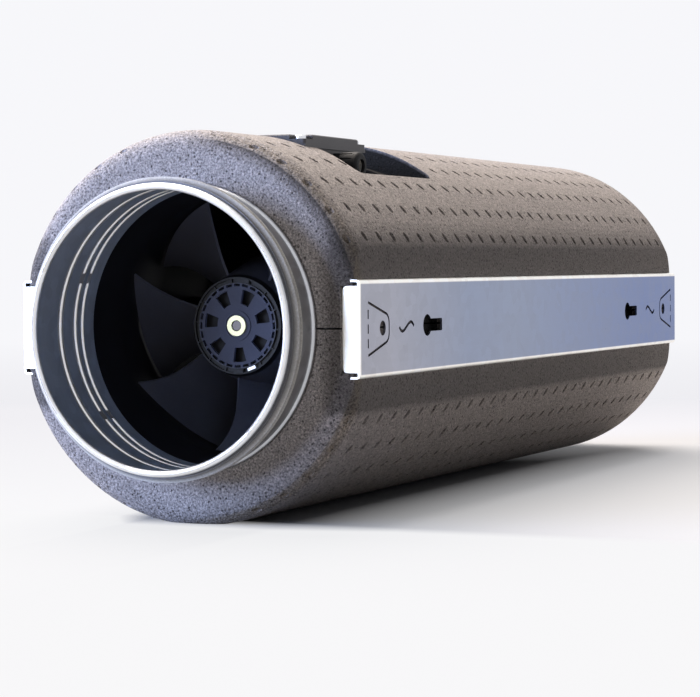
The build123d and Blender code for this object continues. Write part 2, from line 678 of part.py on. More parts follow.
def fan_wheel():
    """Hub with its windowed front disc and the twisted blades, one moulding."""
    back_in = hub_radius(WHEEL_BACK) - HUB_WALL
    disc_back = WHEEL + DISC_T
    hub = turned((BUSH_R, WHEEL), (HUB_RING_R, WHEEL), (HUB_NOSE_R, WHEEL + DISC_T),
                 (HUB_BACK_R, WHEEL_BACK), (back_in, WHEEL_BACK), (HUB_RING_R - HUB_WALL / 2, disc_back),
                 (BUSH_R, disc_back))
    hub += tube(BUSH_R, BOSS_R, WHEEL, CAN_FRONT)
    hub += tube(BOSS_RING_IN_R, BOSS_RING_OUT_R, WHEEL - BOSS_RING_H, WHEEL)
    window = sector(WINDOW_IN_R, WINDOW_OUT_R, WINDOW_SPAN, WHEEL - WALL, disc_back + WALL)
    slot = sector(SLOT_IN_R, SLOT_OUT_R, SLOT_SPAN, WHEEL - WALL, disc_back + WALL)
    for cut in ring_of(window, WINDOWS, WINDOW_THETA) + ring_of(slot, SLOTS):
        hub -= cut
    hub -= tube(GROOVE_IN_R, GROOVE_OUT_R, WHEEL - WALL, WHEEL + GROOVE_DEPTH)
    rib = block(GROOVE_IN_R - FIT, GROOVE_OUT_R + FIT, WHEEL + FIT, disc_back - FIT,
                -GROOVE_RIB_W / 2, GROOVE_RIB_W / 2)
    for web in ring_of(rib, GROOVE_RIBS, GROOVE_RIB_THETA):
        hub += web
    lug = block(GROOVE_IN_R + FIT, GROOVE_OUT_R + FIT, WHEEL - LUG_H, disc_back - FIT, -LUG_W / 2, LUG_W / 2)
    for theta in LUG_THETAS:
        hub += at_theta(lug, theta)
    for i in range(BLADES):
        hub += swung(blade(), 90 + BLADE_MID_TURN + 360 / BLADES * i)
    return hub


def balance_clip():
    """Small steel clip pushed into the hub's groove to balance the wheel."""
    clip = block(GROOVE_IN_R + FIT, GROOVE_OUT_R - FIT, WHEEL - LUG_H, WHEEL + GROOVE_DEPTH,
                 -WEIGHT_W / 2, WEIGHT_W / 2)
    return at_theta(clip, GROOVE_RIB_THETA + WEIGHT_AT * 360 / GROOVE_RIBS)


# ---------------------------------------------------------------- motor
def hub_bush():
    """Brass bush moulded into the wheel: it carries the can and runs up to the front bearing."""
    return tube(SHAFT_R, BUSH_R, WHEEL - BUSH_PROUD, CAN_FRONT + CAN_T) + tube(
        SHAFT_R, BEARING_IN_SHOULDER_R, CAN_FRONT + CAN_T, BEARING_1)


def shaft():
    start = WHEEL - BUSH_PROUD + SHAFT_RECESS
    end = BEARING_2 + BEARING_W + CLIP_T + SHAFT_TAIL
    part = turned((0, start), (SHAFT_R - SHAFT_CHAMFER, start), (SHAFT_R, start + SHAFT_CHAMFER),
                  (SHAFT_R, end - SHAFT_CHAMFER), (SHAFT_R - SHAFT_CHAMFER, end), (0, end))
    clip_at = BEARING_2 + BEARING_W
    return part - tube(CLIP_GROOVE_R, SHAFT_R + FIT, clip_at, clip_at + CLIP_T)


def rotor_can():
    """Pressed steel cup that carries the magnets."""
    cup = tube(BUSH_R, CAN_R, CAN_FRONT, CAN_FRONT + CAN_T)
    return cup + tube(CAN_R - CAN_T, CAN_R, CAN_FRONT, CAN_FRONT + CAN_LEN)


def magnets():
    start = CAN_FRONT + CAN_T + MAGNET_INSET
    outer = CAN_R - CAN_T
    span = 360 / MAGNETS - degrees(MAGNET_GAP / outer)
    piece = sector(outer - MAGNET_T, outer, span, start, start + MAGNET_LEN)
    return group(ring_of(piece, MAGNETS))


def core_front():
    return CAN_FRONT + CAN_T + MAGNET_INSET + (MAGNET_LEN - CORE_LEN) / 2


def stator_core():
    """Laminated core: a yoke on the bearing tube with twelve teeth."""
    start = core_front()
    end = start + CORE_LEN
    part = tube(TUBE_R, CORE_YOKE_R, start, end)
    tooth = block(CORE_YOKE_R - TOOTH_W / 4, STATOR_R - SHOE_T / 2, start, end, -TOOTH_W / 2, TOOTH_W / 2)
    span = 360 / TEETH - degrees(SHOE_GAP / STATOR_R)
    shoe = sector(STATOR_R - SHOE_T, STATOR_R, span, start, end)
    for piece in ring_of(tooth, TEETH) + ring_of(shoe, TEETH):
        part += piece
    return part


def stator_windings():
    """One coil round each tooth."""
    start = core_front() - COIL_END
    end = core_front() + CORE_LEN + COIL_END
    inner = CORE_YOKE_R + COIL_CLEAR
    outer = STATOR_R - SHOE_T - COIL_CLEAR
    coil = block(inner, outer, start, end, -COIL_W / 2, COIL_W / 2)
    hole = block(CORE_YOKE_R, STATOR_R, start + COIL_END - COIL_CLEAR, end - COIL_END + COIL_CLEAR,
                 -TOOTH_W / 2 - COIL_CLEAR / 2, TOOTH_W / 2 + COIL_CLEAR / 2)
    keep = sector(inner, outer, 360 / TEETH - COIL_PARTING, start, end)
    return group(ring_of((coil & keep) - hole, TEETH))


def bearing_rings(outer_ring):
    """Both bearings' outer rings, or both inner ones, each with a round raceway."""
    rings = []
    for start in (BEARING_1, BEARING_2):
        middle = start + BEARING_W / 2
        race = solid_of(Pos(BEARING_PITCH_R, middle) * Circle(BALL_R + RUN).edge())
        if outer_ring:
            ring = tube(BEARING_OUT_SHOULDER_R, BEARING_OUT_R, start, start + BEARING_W)
        else:
            ring = tube(SHAFT_R, BEARING_IN_SHOULDER_R, start, start + BEARING_W)
        rings.append(ring - race)
    return group(rings)


def ball_places():
    return [(BEARING_PITCH_R * cos(2 * pi * i / BALLS), start + BEARING_W / 2,
             BEARING_PITCH_R * sin(2 * pi * i / BALLS))
            for start in (BEARING_1, BEARING_2) for i in range(BALLS)]


def bearing_balls():
    return group([Pos(*place) * Sphere(BALL_R) for place in ball_places()])


def bearing_cages():
    cages = []
    for start in (BEARING_1, BEARING_2):
        middle = start + BEARING_W / 2
        cage = tube(BEARING_PITCH_R - CAGE_T / 2, BEARING_PITCH_R + CAGE_T / 2,
                    middle - CAGE_W / 2, middle + CAGE_W / 2)
        pocket = rod_x(BALL_R + RUN, BEARING_IN_SHOULDER_R, BEARING_OUT_SHOULDER_R, middle, 0)
        for cut in ring_of(pocket, BALLS):
            cage -= cut
        cages.append(cage)
    return group(cages)


def preload_spring():
    """Spring ring between the tube's shoulder and the rear bearing."""
    return tube(SPRING_IN_R, BEARING_OUT_R, BEARING_2 - SPRING_T, BEARING_2)


def circlip():
    at = BEARING_2 + BEARING_W
    ring = tube(CLIP_GROOVE_R, CLIP_R, at, at + CLIP_T)
    return ring - block(0, CLIP_R + FIT, at - FIT, at + CLIP_T + FIT, -CLIP_GROOVE_R / 2, CLIP_GROOVE_R / 2)


def motor_flange():
    """Die-cast flange with the bearing tube that carries the stator."""
    back = FIXED_HUB + MOTOR_FLANGE_T
    part = tube(TUBE_SHOULDER_R, TUBE_R, BEARING_1, FIXED_HUB) + tube(
        TUBE_SHOULDER_R, MOTOR_FLANGE_R, FIXED_HUB, back)
    part -= tube(0, BEARING_OUT_R, BEARING_1 - FIT, BEARING_1 + BEARING_W)
    part -= tube(0, BEARING_OUT_R, BEARING_2 - SPRING_T, back + FIT)
    for x, z in motor_screw_places():
        part -= rod(MOTOR_SCREW_R + FIT, FIXED_HUB - FIT, back + FIT, x, z)
        part -= screw_cone(x, z, FIT)
    return part


def screw_cone(x, z, extra):
    """Countersunk head of a motor screw, or its seat."""
    depth = MOTOR_SCREW_HEAD_R - MOTOR_SCREW_R
    head = turned((0, FIXED_HUB), (MOTOR_SCREW_HEAD_R + extra, FIXED_HUB),
                  (MOTOR_SCREW_R + extra, FIXED_HUB + depth), (0, FIXED_HUB + depth))
    return Pos(x, 0, z) * head


def motor_screws():
    return group([screw_cone(x, z, 0) + rod(MOTOR_SCREW_R, FIXED_HUB + MOTOR_SCREW_R / 2,
                                            FIXED_HUB + MOTOR_SCREW_LEN, x, z)
                  for x, z in motor_screw_places()])


# ---------------------------------------------------------------- electronics
def board_screw_places():
    reach = POT_R - POT_WALL - FIT - BOARD_SCREW_HEAD_R
    return [(reach * cos(radians(a)), reach * sin(radians(a)))
            for a in [30 + 360 / BOARD_SCREWS * i for i in range(BOARD_SCREWS)]]


def electronics_pot():
    """Cup behind the motor flange that holds the control board."""
    back = POT_FRONT + POT_LEN
    seat = BOARD + BOARD_T
    part = tube(POT_R - POT_WALL, MOTOR_FLANGE_R, POT_FRONT, BULKHEAD)
    part += tube(POT_R - POT_WALL, POT_R, POT_FRONT, back)
    part += rod(POT_R, back - POT_WALL, back)
    part += tube(BOARD_LEDGE_R, POT_R - POT_WALL / 2, seat, seat + 2 * POT_WALL)
    for x, z in motor_screw_places():
        part -= rod(MOTOR_SCREW_R + FIT, POT_FRONT - FIT, BULKHEAD + FIT, x, z)
    for x, z in board_screw_places():
        part -= rod(BOARD_SCREW_R, seat - FIT, seat + POT_WALL, x, z)
    return part - rod_z(CABLE_R + FIT, CABLE_START_Z, FIXED_HUB_R, 0, CABLE_Y)


def control_board():
    part = rod(BOARD_R, BOARD, BOARD + BOARD_T)
    for x, z in board_screw_places():
        part -= rod(BOARD_SCREW_R + RUN, BOARD - FIT, BOARD + BOARD_T + FIT, x, z)
    return part


def board_screws():
    screws = []
    for x, z in board_screw_places():
        shank = rod(BOARD_SCREW_R, BOARD, BOARD + BOARD_T + POT_WALL, x, z)
        screws.append(shank + rod(BOARD_SCREW_HEAD_R, BOARD - BOARD_SCREW_R, BOARD, x, z))
    return group(screws)


def board_components():
    """Two capacitors and a choke that stand on the back of the board."""
    back = BOARD + BOARD_T
    wide, deep, tall = CHOKE
    parts = [rod(CAP_R, back, back + CAP_LEN, side * 2 * CAP_R, -CAP_R) for side in (-1, 1)]
    parts.append(block(-wide / 2, wide / 2, back, back + tall, CAP_R / 2, CAP_R / 2 + deep))
    return group(parts)


# ---------------------------------------------------------------- silencer
def silencer_lining():
    """Sound-absorbing sleeve between the fan housing and the outlet collar."""
    return tube(BORE_R, LINING_R, HOUSING_BACK + LINING_INSET, LINING_BACK)


# ---------------------------------------------------------------- mounting rails
RAIL_PLANE = Plane(origin=(RAIL_OUT_X, 0, 0), x_dir=(0, 1, 0), z_dir=(1, 0, 0))


def through_rail(shape):
    """Cutter through the rail's face, drawn as station along and height up."""
    return extrude(RAIL_PLANE * shape, 2 * RAIL_T, both=True)


def rail_tab():
    """Slit round the fold-out tab, its dashed fold line and its hole, at the inlet end."""
    base = RAIL_FRONT + TAB_BASE
    tip = base + TAB_LEN
    path = FilletPolyline((base, TAB_BASE_H / 2), (tip, TAB_TIP_H / 2), (tip, -TAB_TIP_H / 2),
                          (base, -TAB_BASE_H / 2), radius=TAB_CORNER_R)
    cut = through_rail(trace(path, SLIT_W))
    for i in range(FOLD_DASHES):
        z = (i - (FOLD_DASHES - 1) / 2) * FOLD_PITCH
        cut += through_rail(Pos(base, z) * Rectangle(SLIT_W, FOLD_DASH))
    return cut + rod_x(TAB_HOLE_R, RAIL_IN_X - RAIL_T, RAIL_OUT_X + RAIL_T, RAIL_FRONT + TAB_HOLE_AT, 0)


def rail_wave():
    """Wavy slit beside the tab."""
    start = RAIL_FRONT + WAVE_AT - WAVE_LEN / 2
    path = Spline(*[(start + WAVE_LEN * u, -WAVE_H * sin(2 * pi * u)) for u in (0, 0.25, 0.5, 0.75, 1)])
    return through_rail(trace(path, WAVE_W))


def keyhole(at):
    """Keyhole for a wall screw: a round head and a slot towards the outlet."""
    slot = Rectangle(KEY_REACH, KEY_SLOT_W)
    slot = fillet(slot.vertices(), KEY_SLOT_CORNER_R)
    return through_rail(Pos(at, 0) * Circle(KEY_HEAD_R) + Pos(at + KEY_REACH / 2, 0) * slot)


def key_places():
    return [RAIL_FRONT + KEY_AT, RAIL_FRONT + KEY_AT + KEY_PITCH]


def right_rail():
    """Folded steel rail: face, two long edges pushed into the foam and a lip over each end."""
    front = RAIL_FRONT
    back = RAIL_FRONT + RAIL_LEN
    side = RAIL_H / 2
    outer = block(RAIL_OUT_X - RAIL_LIP, RAIL_OUT_X, front, back, -side, side)
    outer = fillet(outer.edges().filter_by(Axis.Y).group_by(Axis.X)[-1], RAIL_BEND_R)
    inner = block(RAIL_OUT_X - 2 * RAIL_LIP, RAIL_IN_X, front - RAIL_T, back + RAIL_T, -side + RAIL_T,
                  side - RAIL_T)
    inner = fillet(inner.edges().filter_by(Axis.Y).group_by(Axis.X)[-1], RAIL_BEND_R - RAIL_T)
    rail = outer - inner
    end = RAIL_END_H / 2
    lip = block(RAIL_OUT_X - RAIL_END_LIP, RAIL_OUT_X, front, front + RAIL_T, -end, end)
    lip = fillet(lip.edges().filter_by(Axis.Y).group_by(Axis.X)[0], RAIL_END_CORNER_R)
    corner = block(RAIL_IN_X - RAIL_BEND_R, RAIL_IN_X, front, front + RAIL_BEND_R, -end, end)
    corner -= rod_z(RAIL_BEND_R - RAIL_T, -side, side, RAIL_IN_X - RAIL_BEND_R + RAIL_T, front + RAIL_BEND_R)
    rail += lip + corner
    cut = rail_tab() + rail_wave()
    half = mirror_half(rail, front, back)
    rail = half - cut - mirrored(cut)
    for at in key_places():
        rail -= keyhole(at)
    return rail


def mirror_half(rail, front, back):
    """The rail with both ends like its inlet end."""
    middle = (front + back) / 2
    near = rail & block(0, 2 * RAIL_OUT_X, front - RAIL_T, middle, -RAIL_H, RAIL_H)
    return near + mirrored(near)


# ---------------------------------------------------------------- foam body
def fan_room():
    """Everything that the two half shells leave free for the fan, collars and silencer."""
    room = rod(COLLAR_R + FIT, FACE_IN - FIT, COLLAR_END + FIT)
    room += rod(COLLAR_R + BEAD_RISE + FIT, FACE_IN - FIT, FACE_IN - STOP_BEAD_BACK + BEAD_R)
    room += rod(COLLAR_R + COLLAR_FLANGE_H + FIT, COLLAR_END - COLLAR_T - FIT, COLLAR_END + FIT)
    for depth in ANCHOR_BEADS:
        room += rod(COLLAR_R + BEAD_RISE + FIT, FACE_IN + depth - BEAD_R, FACE_IN + depth + BEAD_R)
    room += mirrored(room)
    step = HOUSING_FLANGE_T + ISOLATOR_T
    room += rod(FLANGE_R + FIT, CONE_FRONT - FIT, CONE_FRONT + step)
    room += rod(HOUSING_R + FIT, CONE_FRONT, HOUSING_BACK)
    room += rod(FLANGE_R + FIT, HOUSING_BACK - step, HOUSING_BACK + LINING_INSET)
    room += rod(LINING_R + FIT, HOUSING_BACK + LINING_INSET, LINING_BACK + LINING_INSET - FIT / 2)
    front = RING_FRONT - EAR_T - HOUSING_SCREW_R - FIT
    back = RING_FRONT + EAR_T + FIT
    ear = rod(EAR_R + FIT, front, back, EAR_AT_R)
    ear += block(HOUSING_R, EAR_AT_R, front, back, -EAR_R - FIT, EAR_R + FIT)
    for theta in EAR_THETAS:
        room += at_theta(ear, theta)
    return room


def rail_room():
    """Slots and end notches in the foam for the right-hand rail, and the pockets behind its keyholes."""
    front = RAIL_FRONT - FIT
    back = RAIL_FRONT + RAIL_LEN + FIT
    side = RAIL_H / 2 + FIT
    room = block(RAIL_OUT_X - RAIL_LIP - FIT, BODY_R, front, back, -side, side)
    between = side - RAIL_T - 2 * FIT
    room -= block(SIDE_FLAT_X / 2, SIDE_FLAT_X, front, back, -between, between)
    room -= block(SIDE_FLAT_X / 2, RAIL_IN_X - FIT, front, back, -RAIL_PAD_H / 2, RAIL_PAD_H / 2)
    notch = block(RAIL_OUT_X - RAIL_END_LIP - FIT, BODY_R, FACE_IN - FIT, RAIL_FRONT + RAIL_BEND_R + FIT,
                  -RAIL_END_H / 2 - FIT, RAIL_END_H / 2 + FIT)
    room += notch + mirrored(notch)
    for at in key_places():
        reach = KEY_HEAD_R + KEY_POCKET_MARGIN
        room += block(RAIL_IN_X - KEY_POCKET, BODY_R, at - reach, at + KEY_REACH + KEY_POCKET_MARGIN,
                      -reach, reach)
    return room


def peg_places():
    end_x = (COLLAR_R + SIDE_FLAT_X) / 2
    mid_x = (HOUSING_R + SIDE_FLAT_X) / 2
    ends = [(x, y) for x in (-end_x, end_x) for y in (FACE_IN + PEG_INSET, FACE_OUT - PEG_INSET)]
    return ends + [(x, RING_BACK - PEG_INSET) for x in (-mid_x, mid_x)]


def body_block():
    """The whole foam body before it is split, with its rounded ends, side flats and flat foot."""
    part = fillet(rod(BODY_R, FACE_IN, FACE_OUT).edges().filter_by(GeomType.CIRCLE), BODY_EDGE_R)
    part &= block(-RAIL_OUT_X, RAIL_OUT_X, FACE_IN, FACE_OUT, -AXIS_H, BODY_R)
    flats = block(-SIDE_FLAT_X, SIDE_FLAT_X, FACE_IN, FACE_OUT, -BODY_R, BODY_R)
    pads = block(-RAIL_OUT_X, RAIL_OUT_X, FACE_IN, FACE_OUT, -RAIL_H / 2, RAIL_H / 2)
    part &= flats + pads
    room = rail_room()
    return part - room - mirror(room, Plane.YZ) - fan_room()


def box_room():
    """Scooped pocket and seat for the terminal box, with holes for its bosses and the motor cable."""
    seat = box_block(-FIT, THROAT_R / 2, 2 * BODY_R) - rod(BOX_SADDLE_R - FIT, FACE_IN, FACE_OUT)
    pocket = block(-POCKET_HALF_W, POCKET_HALF_W, FACE_IN + POCKET_FRONT, FACE_IN + POCKET_BACK,
                   THROAT_R / 2, 2 * BODY_R)
    pocket = fillet(pocket.edges().filter_by(Axis.Z), POCKET_CORNER_R)
    pocket -= rod(POCKET_FLOOR_R, FACE_IN, FACE_OUT)
    pocket -= rod(POCKET_STEP_R, HOUSING_BACK - POCKET_STEP_AHEAD, FACE_OUT)
    room = seat + pocket + rod_z(CABLE_R + FIT, VANE_RING_R, BODY_R, 0, CABLE_Y)
    for x, y in box_screw_places():
        room += rod_z(BOX_BOSS_R + FIT, THROAT_R, BODY_R, x, y)
    return room


def upper_shell(body):
    part = body & block(-BODY_R, BODY_R, FACE_IN, FACE_OUT, 0, BODY_R)
    for x, y in peg_places():
        part -= rod_z(PEG_R + FIT, -PEG_H, PEG_H + FIT, x, y)
    return part - box_room()


def lower_shell(body):
    part = body & block(-BODY_R, BODY_R, FACE_IN, FACE_OUT, -BODY_R, 0)
    for x, y in peg_places():
        part += rod_z(PEG_R, -PEG_H / 2, PEG_H, x, y)
    return part


# ---------------------------------------------------------------- terminal box
def box_block(inset, bottom, top):
    """Block with the terminal box's outline, drawn in by an inset."""
    return block(-BOX_W / 2 + inset, BOX_W / 2 - inset, BOX_Y + inset, BOX_Y + BOX_LEN - inset, bottom, top)


def box_frame(outer, inner, bottom, top):
    """Frame between two insets from the box's outline."""
    return box_block(outer, bottom, top) - box_block(inner, bottom - BOX_WALL, top + BOX_WALL)


def lid_screw_places():
    x = BOX_W / 2 - LID_SCREW_INSET
    return [(side * x, BOX_Y + y) for side in (-1, 1) for y in (LID_SCREW_INSET, BOX_LEN - LID_SCREW_INSET)]


def box_screw_places():
    return [(side * BOX_BOSS_X, BOX_Y + at) for side in (-1, 1) for at in BOX_BOSS_AT]


def pad_at(place, size):
    """Flat pad on the box's round floor, a little larger than what stands on it."""
    x, y = place[0], BOX_Y + place[1]
    half_x, half_y = size[0] / 2 + PAD_MARGIN, size[1] / 2 + PAD_MARGIN
    pad = block(x - half_x, x + half_x, y - half_y, y + half_y, THROAT_R, PAD_TOP)
    return pad - rod(BOX_SADDLE_R + BOX_WALL / 2, FACE_IN, FACE_OUT)


def terminal_box_base():
    """Open box with a round underside that sits on the fan housing's bosses."""
    saddle = rod(BOX_SADDLE_R, FACE_IN, FACE_OUT)
    room = box_block(BOX_LEDGE + BOX_WALL, THROAT_R / 2, BODY_R)
    room -= rod(BOX_SADDLE_R + BOX_WALL, FACE_IN, FACE_OUT)
    part = box_block(BOX_LEDGE, THROAT_R / 2, LID_BOTTOM) - saddle - room
    part += box_frame(0, BOX_LEDGE + BOX_WALL, LID_BOTTOM - BOX_LEDGE_H, LID_BOTTOM)
    for x, y in lid_screw_places():
        part += rod_z(POST_R, THROAT_R, LID_BOTTOM, x, y) - saddle
        part -= rod_z(LID_SCREW_R, lid_floor() - LID_SCREW_LEN, BODY_R, x, y)
    reach = BOX_LEDGE + BOX_WALL / 2
    half = LID_SEAL_W / 2 + RUN
    part -= box_frame(reach - half, reach + half, LID_BOTTOM - LID_SEAL_H, LID_BOTTOM)
    for x, y in box_screw_places():
        part += rod_z(BOX_BOSS_R + BOX_WALL, THROAT_R, BOX_PAD_TOP, x, y) - saddle
        part -= rod_z(BOX_BOSS_R + FIT, THROAT_R, BOX_BOSS_TOP, x, y)
        part -= rod_z(BOX_SCREW_R + FIT, BOX_BOSS_TOP - FIT, BOX_PAD_TOP, x, y)
    part += pad_at((0, BLOCK_AT), BLOCK) + pad_at(TRIMMER_AT, TRIMMER_BODY) + pad_at(EARTH_AT, EARTH_PLATE)
    part -= rod_z(EARTH_SCREW_R, PAD_TOP - EARTH_SCREW_LEN, PAD_TOP, EARTH_AT[0], BOX_Y + EARTH_AT[1])
    part -= rod_x(GLAND_THREAD_R, -BOX_W, BOX_W, BOX_Y + GLAND_AT, GLAND_Z)
    return part - rod_z(GROMMET_R, THROAT_R, PAD_TOP, 0, CABLE_Y)


def lid_floor():
    """Height that the lid's screw heads stand on."""
    return BOX_TOP - LID_STEP_H


def terminal_box_lid():
    """Lid with a lower step at the back and open corners at the front for its screws."""
    back = BOX_Y + BOX_LEN
    part = box_block(0, LID_BOTTOM, BOX_TOP)
    part = fillet(part.edges().filter_by(Axis.Z), LID_CORNER_R)
    part -= block(-BOX_W, BOX_W, back - LID_STEP_LEN, back + FIT, lid_floor(), BODY_R + LID_H)
    notches = []
    for side in (-1, 1):
        x0, x1 = sorted((side * BOX_W, side * (BOX_W / 2 - LID_NOTCH)))
        notches.append((x0, x1))
        part -= block(x0, x1, BOX_Y - FIT, BOX_Y + LID_NOTCH, lid_floor(), BODY_R + LID_H)
    part = chamfer(part.faces().sort_by(Axis.Z)[-1].edges(), LID_CHAMFER)
    inset = BOX_LEDGE + BOX_WALL
    room = block(-BOX_W / 2 + inset, BOX_W / 2 - inset, BOX_Y + inset, back - LID_STEP_LEN - LID_WALL,
                 LID_BOTTOM, BOX_TOP - LID_WALL)
    for x0, x1 in notches:
        room -= block(x0 - LID_WALL, x1 + LID_WALL, BOX_Y, BOX_Y + LID_NOTCH + LID_WALL, LID_BOTTOM, BOX_TOP)
    part -= room
    for x, y in lid_screw_places():
        part -= rod_z(LID_SCREW_R + FIT, LID_BOTTOM - FIT, BOX_TOP, x, y)
    return part


def lid_seal():
    reach = BOX_LEDGE + BOX_WALL / 2
    return box_frame(reach - LID_SEAL_W / 2, reach + LID_SEAL_W / 2, LID_BOTTOM - LID_SEAL_H, LID_BOTTOM)


def screw_down(radius, length, head_r, head_h, top, x, y):
    """Pan-head screw along Z with a crossed slot, its head standing on "top"."""
    head = rod_z(head_r, top, top + head_h, x, y)
    head = chamfer(head.edges().group_by(Axis.Z)[-1], head_h / 4)
    for slot in ((head_r * 1.2, head_r / 4), (head_r / 4, head_r * 1.2)):
        head -= Pos(x, y, top + head_h) * Box(slot[0], slot[1], head_h)
    return head + rod_z(radius, top - length, top, x, y)


def lid_screws():
    size = (LID_SCREW_R, LID_SCREW_LEN, LID_SCREW_HEAD_R, LID_SCREW_HEAD_H)
    return group([screw_down(*size, lid_floor(), x, y) for x, y in lid_screw_places()])


def box_screws():
    size = (BOX_SCREW_R, BOX_SCREW_LEN, BOX_SCREW_HEAD_R, BOX_SCREW_HEAD_H)
    return group([screw_down(*size, BOX_PAD_TOP, x, y) for x, y in box_screw_places()])


def hexagon_x(radius, start, end):
    """Hexagonal piece along X on the gland's line."""
    plane = Plane(origin=(start, BOX_Y + GLAND_AT, GLAND_Z), x_dir=(0, 1, 0), z_dir=(1, 0, 0))
    return extrude(plane * RegularPolygon(radius, 6), end - start)


def gland_rod(radius, start, end):
    return rod_x(radius, start, end, BOX_Y + GLAND_AT, GLAND_Z)


WALL_OUT = BOX_W / 2 - BOX_LEDGE
WALL_IN = WALL_OUT - BOX_WALL
NECK_END = WALL_OUT + GLAND_HEX_T + GLAND_NECK_LEN
NUT_START = WALL_OUT + GLAND_HEX_T + 2 * FIT


def gland_body():
    part = hexagon_x(GLAND_HEX_R, WALL_OUT, WALL_OUT + GLAND_HEX_T)
    part += gland_rod(GLAND_THREAD_R, WALL_IN - LOCKNUT_T - FIT, WALL_OUT)
    part += gland_rod(GLAND_NECK_R, WALL_OUT, NECK_END)
    return part - gland_rod(GLAND_BORE_R, 0, BOX_W)


def gland_nut():
    nut = gland_rod(GLAND_NUT_R, NUT_START, NUT_START + GLAND_NUT_LEN)
    nut = fillet(nut.edges().group_by(Axis.X)[-1], GLAND_NUT_R / 4)
    nut -= gland_rod(GLAND_NECK_R, NUT_START - FIT, NECK_END)
    nut -= gland_rod(GLAND_SEAL_R, NECK_END, NUT_START + GLAND_NUT_LEN - GLAND_LIP_T)
    nut -= gland_rod(GLAND_BORE_R, 0, BOX_W)
    for i in range(GLAND_GRIPS):
        grip = Pos(0, BOX_Y + GLAND_AT, GLAND_Z) * Rot(360 / GLAND_GRIPS * i, 0, 0) * Pos(
            NUT_START, GLAND_NUT_R, 0) * Box(GLAND_NUT_LEN * 1.3, GLAND_NUT_R / 10, GLAND_NUT_R / 8)
        nut -= grip
    return nut


def gland_seal():
    end = NUT_START + GLAND_NUT_LEN - GLAND_LIP_T
    return gland_rod(GLAND_SEAL_R, NECK_END, end) - gland_rod(GLAND_SEAL_BORE_R, NECK_END - FIT, end + FIT)


def gland_locknuts():
    nut = hexagon_x(LOCKNUT_R, WALL_IN - LOCKNUT_T, WALL_IN) - gland_rod(GLAND_THREAD_R, 0, WALL_OUT)
    return group([nut, mirror(nut, Plane.YZ)])


def blanking_plug():
    """Plug that closes the spare cable hole in the other side wall."""
    head = gland_rod(LOCKNUT_R, WALL_OUT, WALL_OUT + PLUG_HEAD_T)
    head = fillet(head.edges().group_by(Axis.X)[-1], PLUG_HEAD_T / 3)
    plug = head + gland_rod(GLAND_THREAD_R, WALL_IN - LOCKNUT_T - FIT, WALL_OUT)
    plug -= gland_rod(GLAND_BORE_R, WALL_IN - LOCKNUT_T - 2 * FIT, WALL_OUT)
    return mirror(plug, Plane.YZ)


# ---------------------------------------------------------------- fittings in the terminal box
def motor_cable():
    """Cable from the electronics up through the strut, then along to the terminal block."""
    entry = PAD_TOP + BLOCK[2] / 2
    end = BOX_Y + BLOCK_AT + BLOCK[1] / 2
    start = (0, CABLE_Y, CABLE_START_Z)
    path = FilletPolyline(start, (0, CABLE_Y, entry), (0, end, entry), radius=CABLE_BEND_R)
    return sweep(Pos(start) * Circle(CABLE_R), path)


def cable_grommet():
    floor_z = BOX_SADDLE_R + BOX_WALL
    part = rod_z(GROMMET_R, BOX_SADDLE_R, floor_z, 0, CABLE_Y)
    part += rod_z(GROMMET_FLANGE_R, floor_z, floor_z + GROMMET_FLANGE_T, 0, CABLE_Y)
    return part - rod_z(CABLE_R, THROAT_R, BODY_R, 0, CABLE_Y)


def pole_places():
    pitch = BLOCK[0] / BLOCK_POLES
    return [(i - (BLOCK_POLES - 1) / 2) * pitch for i in range(BLOCK_POLES)]


def terminal_block():
    wide, deep, tall = BLOCK
    middle = BOX_Y + BLOCK_AT
    part = block(-wide / 2, wide / 2, middle - deep / 2, middle + deep / 2, PAD_TOP, PAD_TOP + tall)
    part = chamfer(part.edges().filter_by(Axis.X).group_by(Axis.Z)[-1], tall / 5)
    for x in pole_places():
        part -= rod_z(BLOCK_SCREW_R, PAD_TOP + tall / 2, PAD_TOP + tall, x, middle)
        part -= rod(BLOCK_WIRE_R, middle - deep / 2, middle - deep / 4, x, PAD_TOP + tall / 3)
    return part


def terminal_screws():
    bottom = PAD_TOP + BLOCK[2] / 2
    top = PAD_TOP + BLOCK[2] - BLOCK_SCREW_R / 2
    screws = []
    for x in pole_places():
        slot = Pos(x, BOX_Y + BLOCK_AT, top) * Box(2 * BLOCK_SCREW_R, BLOCK_SCREW_R / 3, BLOCK_SCREW_R)
        screws.append(rod_z(BLOCK_SCREW_R, bottom, top, x, BOX_Y + BLOCK_AT) - slot)
    return group(screws)


def trimmer_body():
    wide, deep, tall = TRIMMER_BODY
    x, y = TRIMMER_AT[0], BOX_Y + TRIMMER_AT[1]
    part = block(x - wide / 2, x + wide / 2, y - deep / 2, y + deep / 2, PAD_TOP, PAD_TOP + tall)
    return part - rod_z(TRIMMER_SHAFT_R + RUN, PAD_TOP + tall / 4, PAD_TOP + tall, x, y)


def trimmer_knob():
    """Speed setting: a small knob with a pointer that turns on the trimmer's body."""
    x, y = TRIMMER_AT[0], BOX_Y + TRIMMER_AT[1]
    start = PAD_TOP + TRIMMER_BODY[2] + TRIMMER_GAP
    knob = rod_z(TRIMMER_KNOB_R, start, start + TRIMMER_KNOB_H, x, y)
    knob += rod_z(TRIMMER_SHAFT_R, PAD_TOP + TRIMMER_BODY[2] / 4 + TRIMMER_GAP, start, x, y)
    slot = Pos(x, y - TRIMMER_KNOB_R / 2, start + TRIMMER_KNOB_H) * Box(
        TRIMMER_KNOB_R / 4, TRIMMER_KNOB_R, TRIMMER_KNOB_H / 3)
    return knob - slot


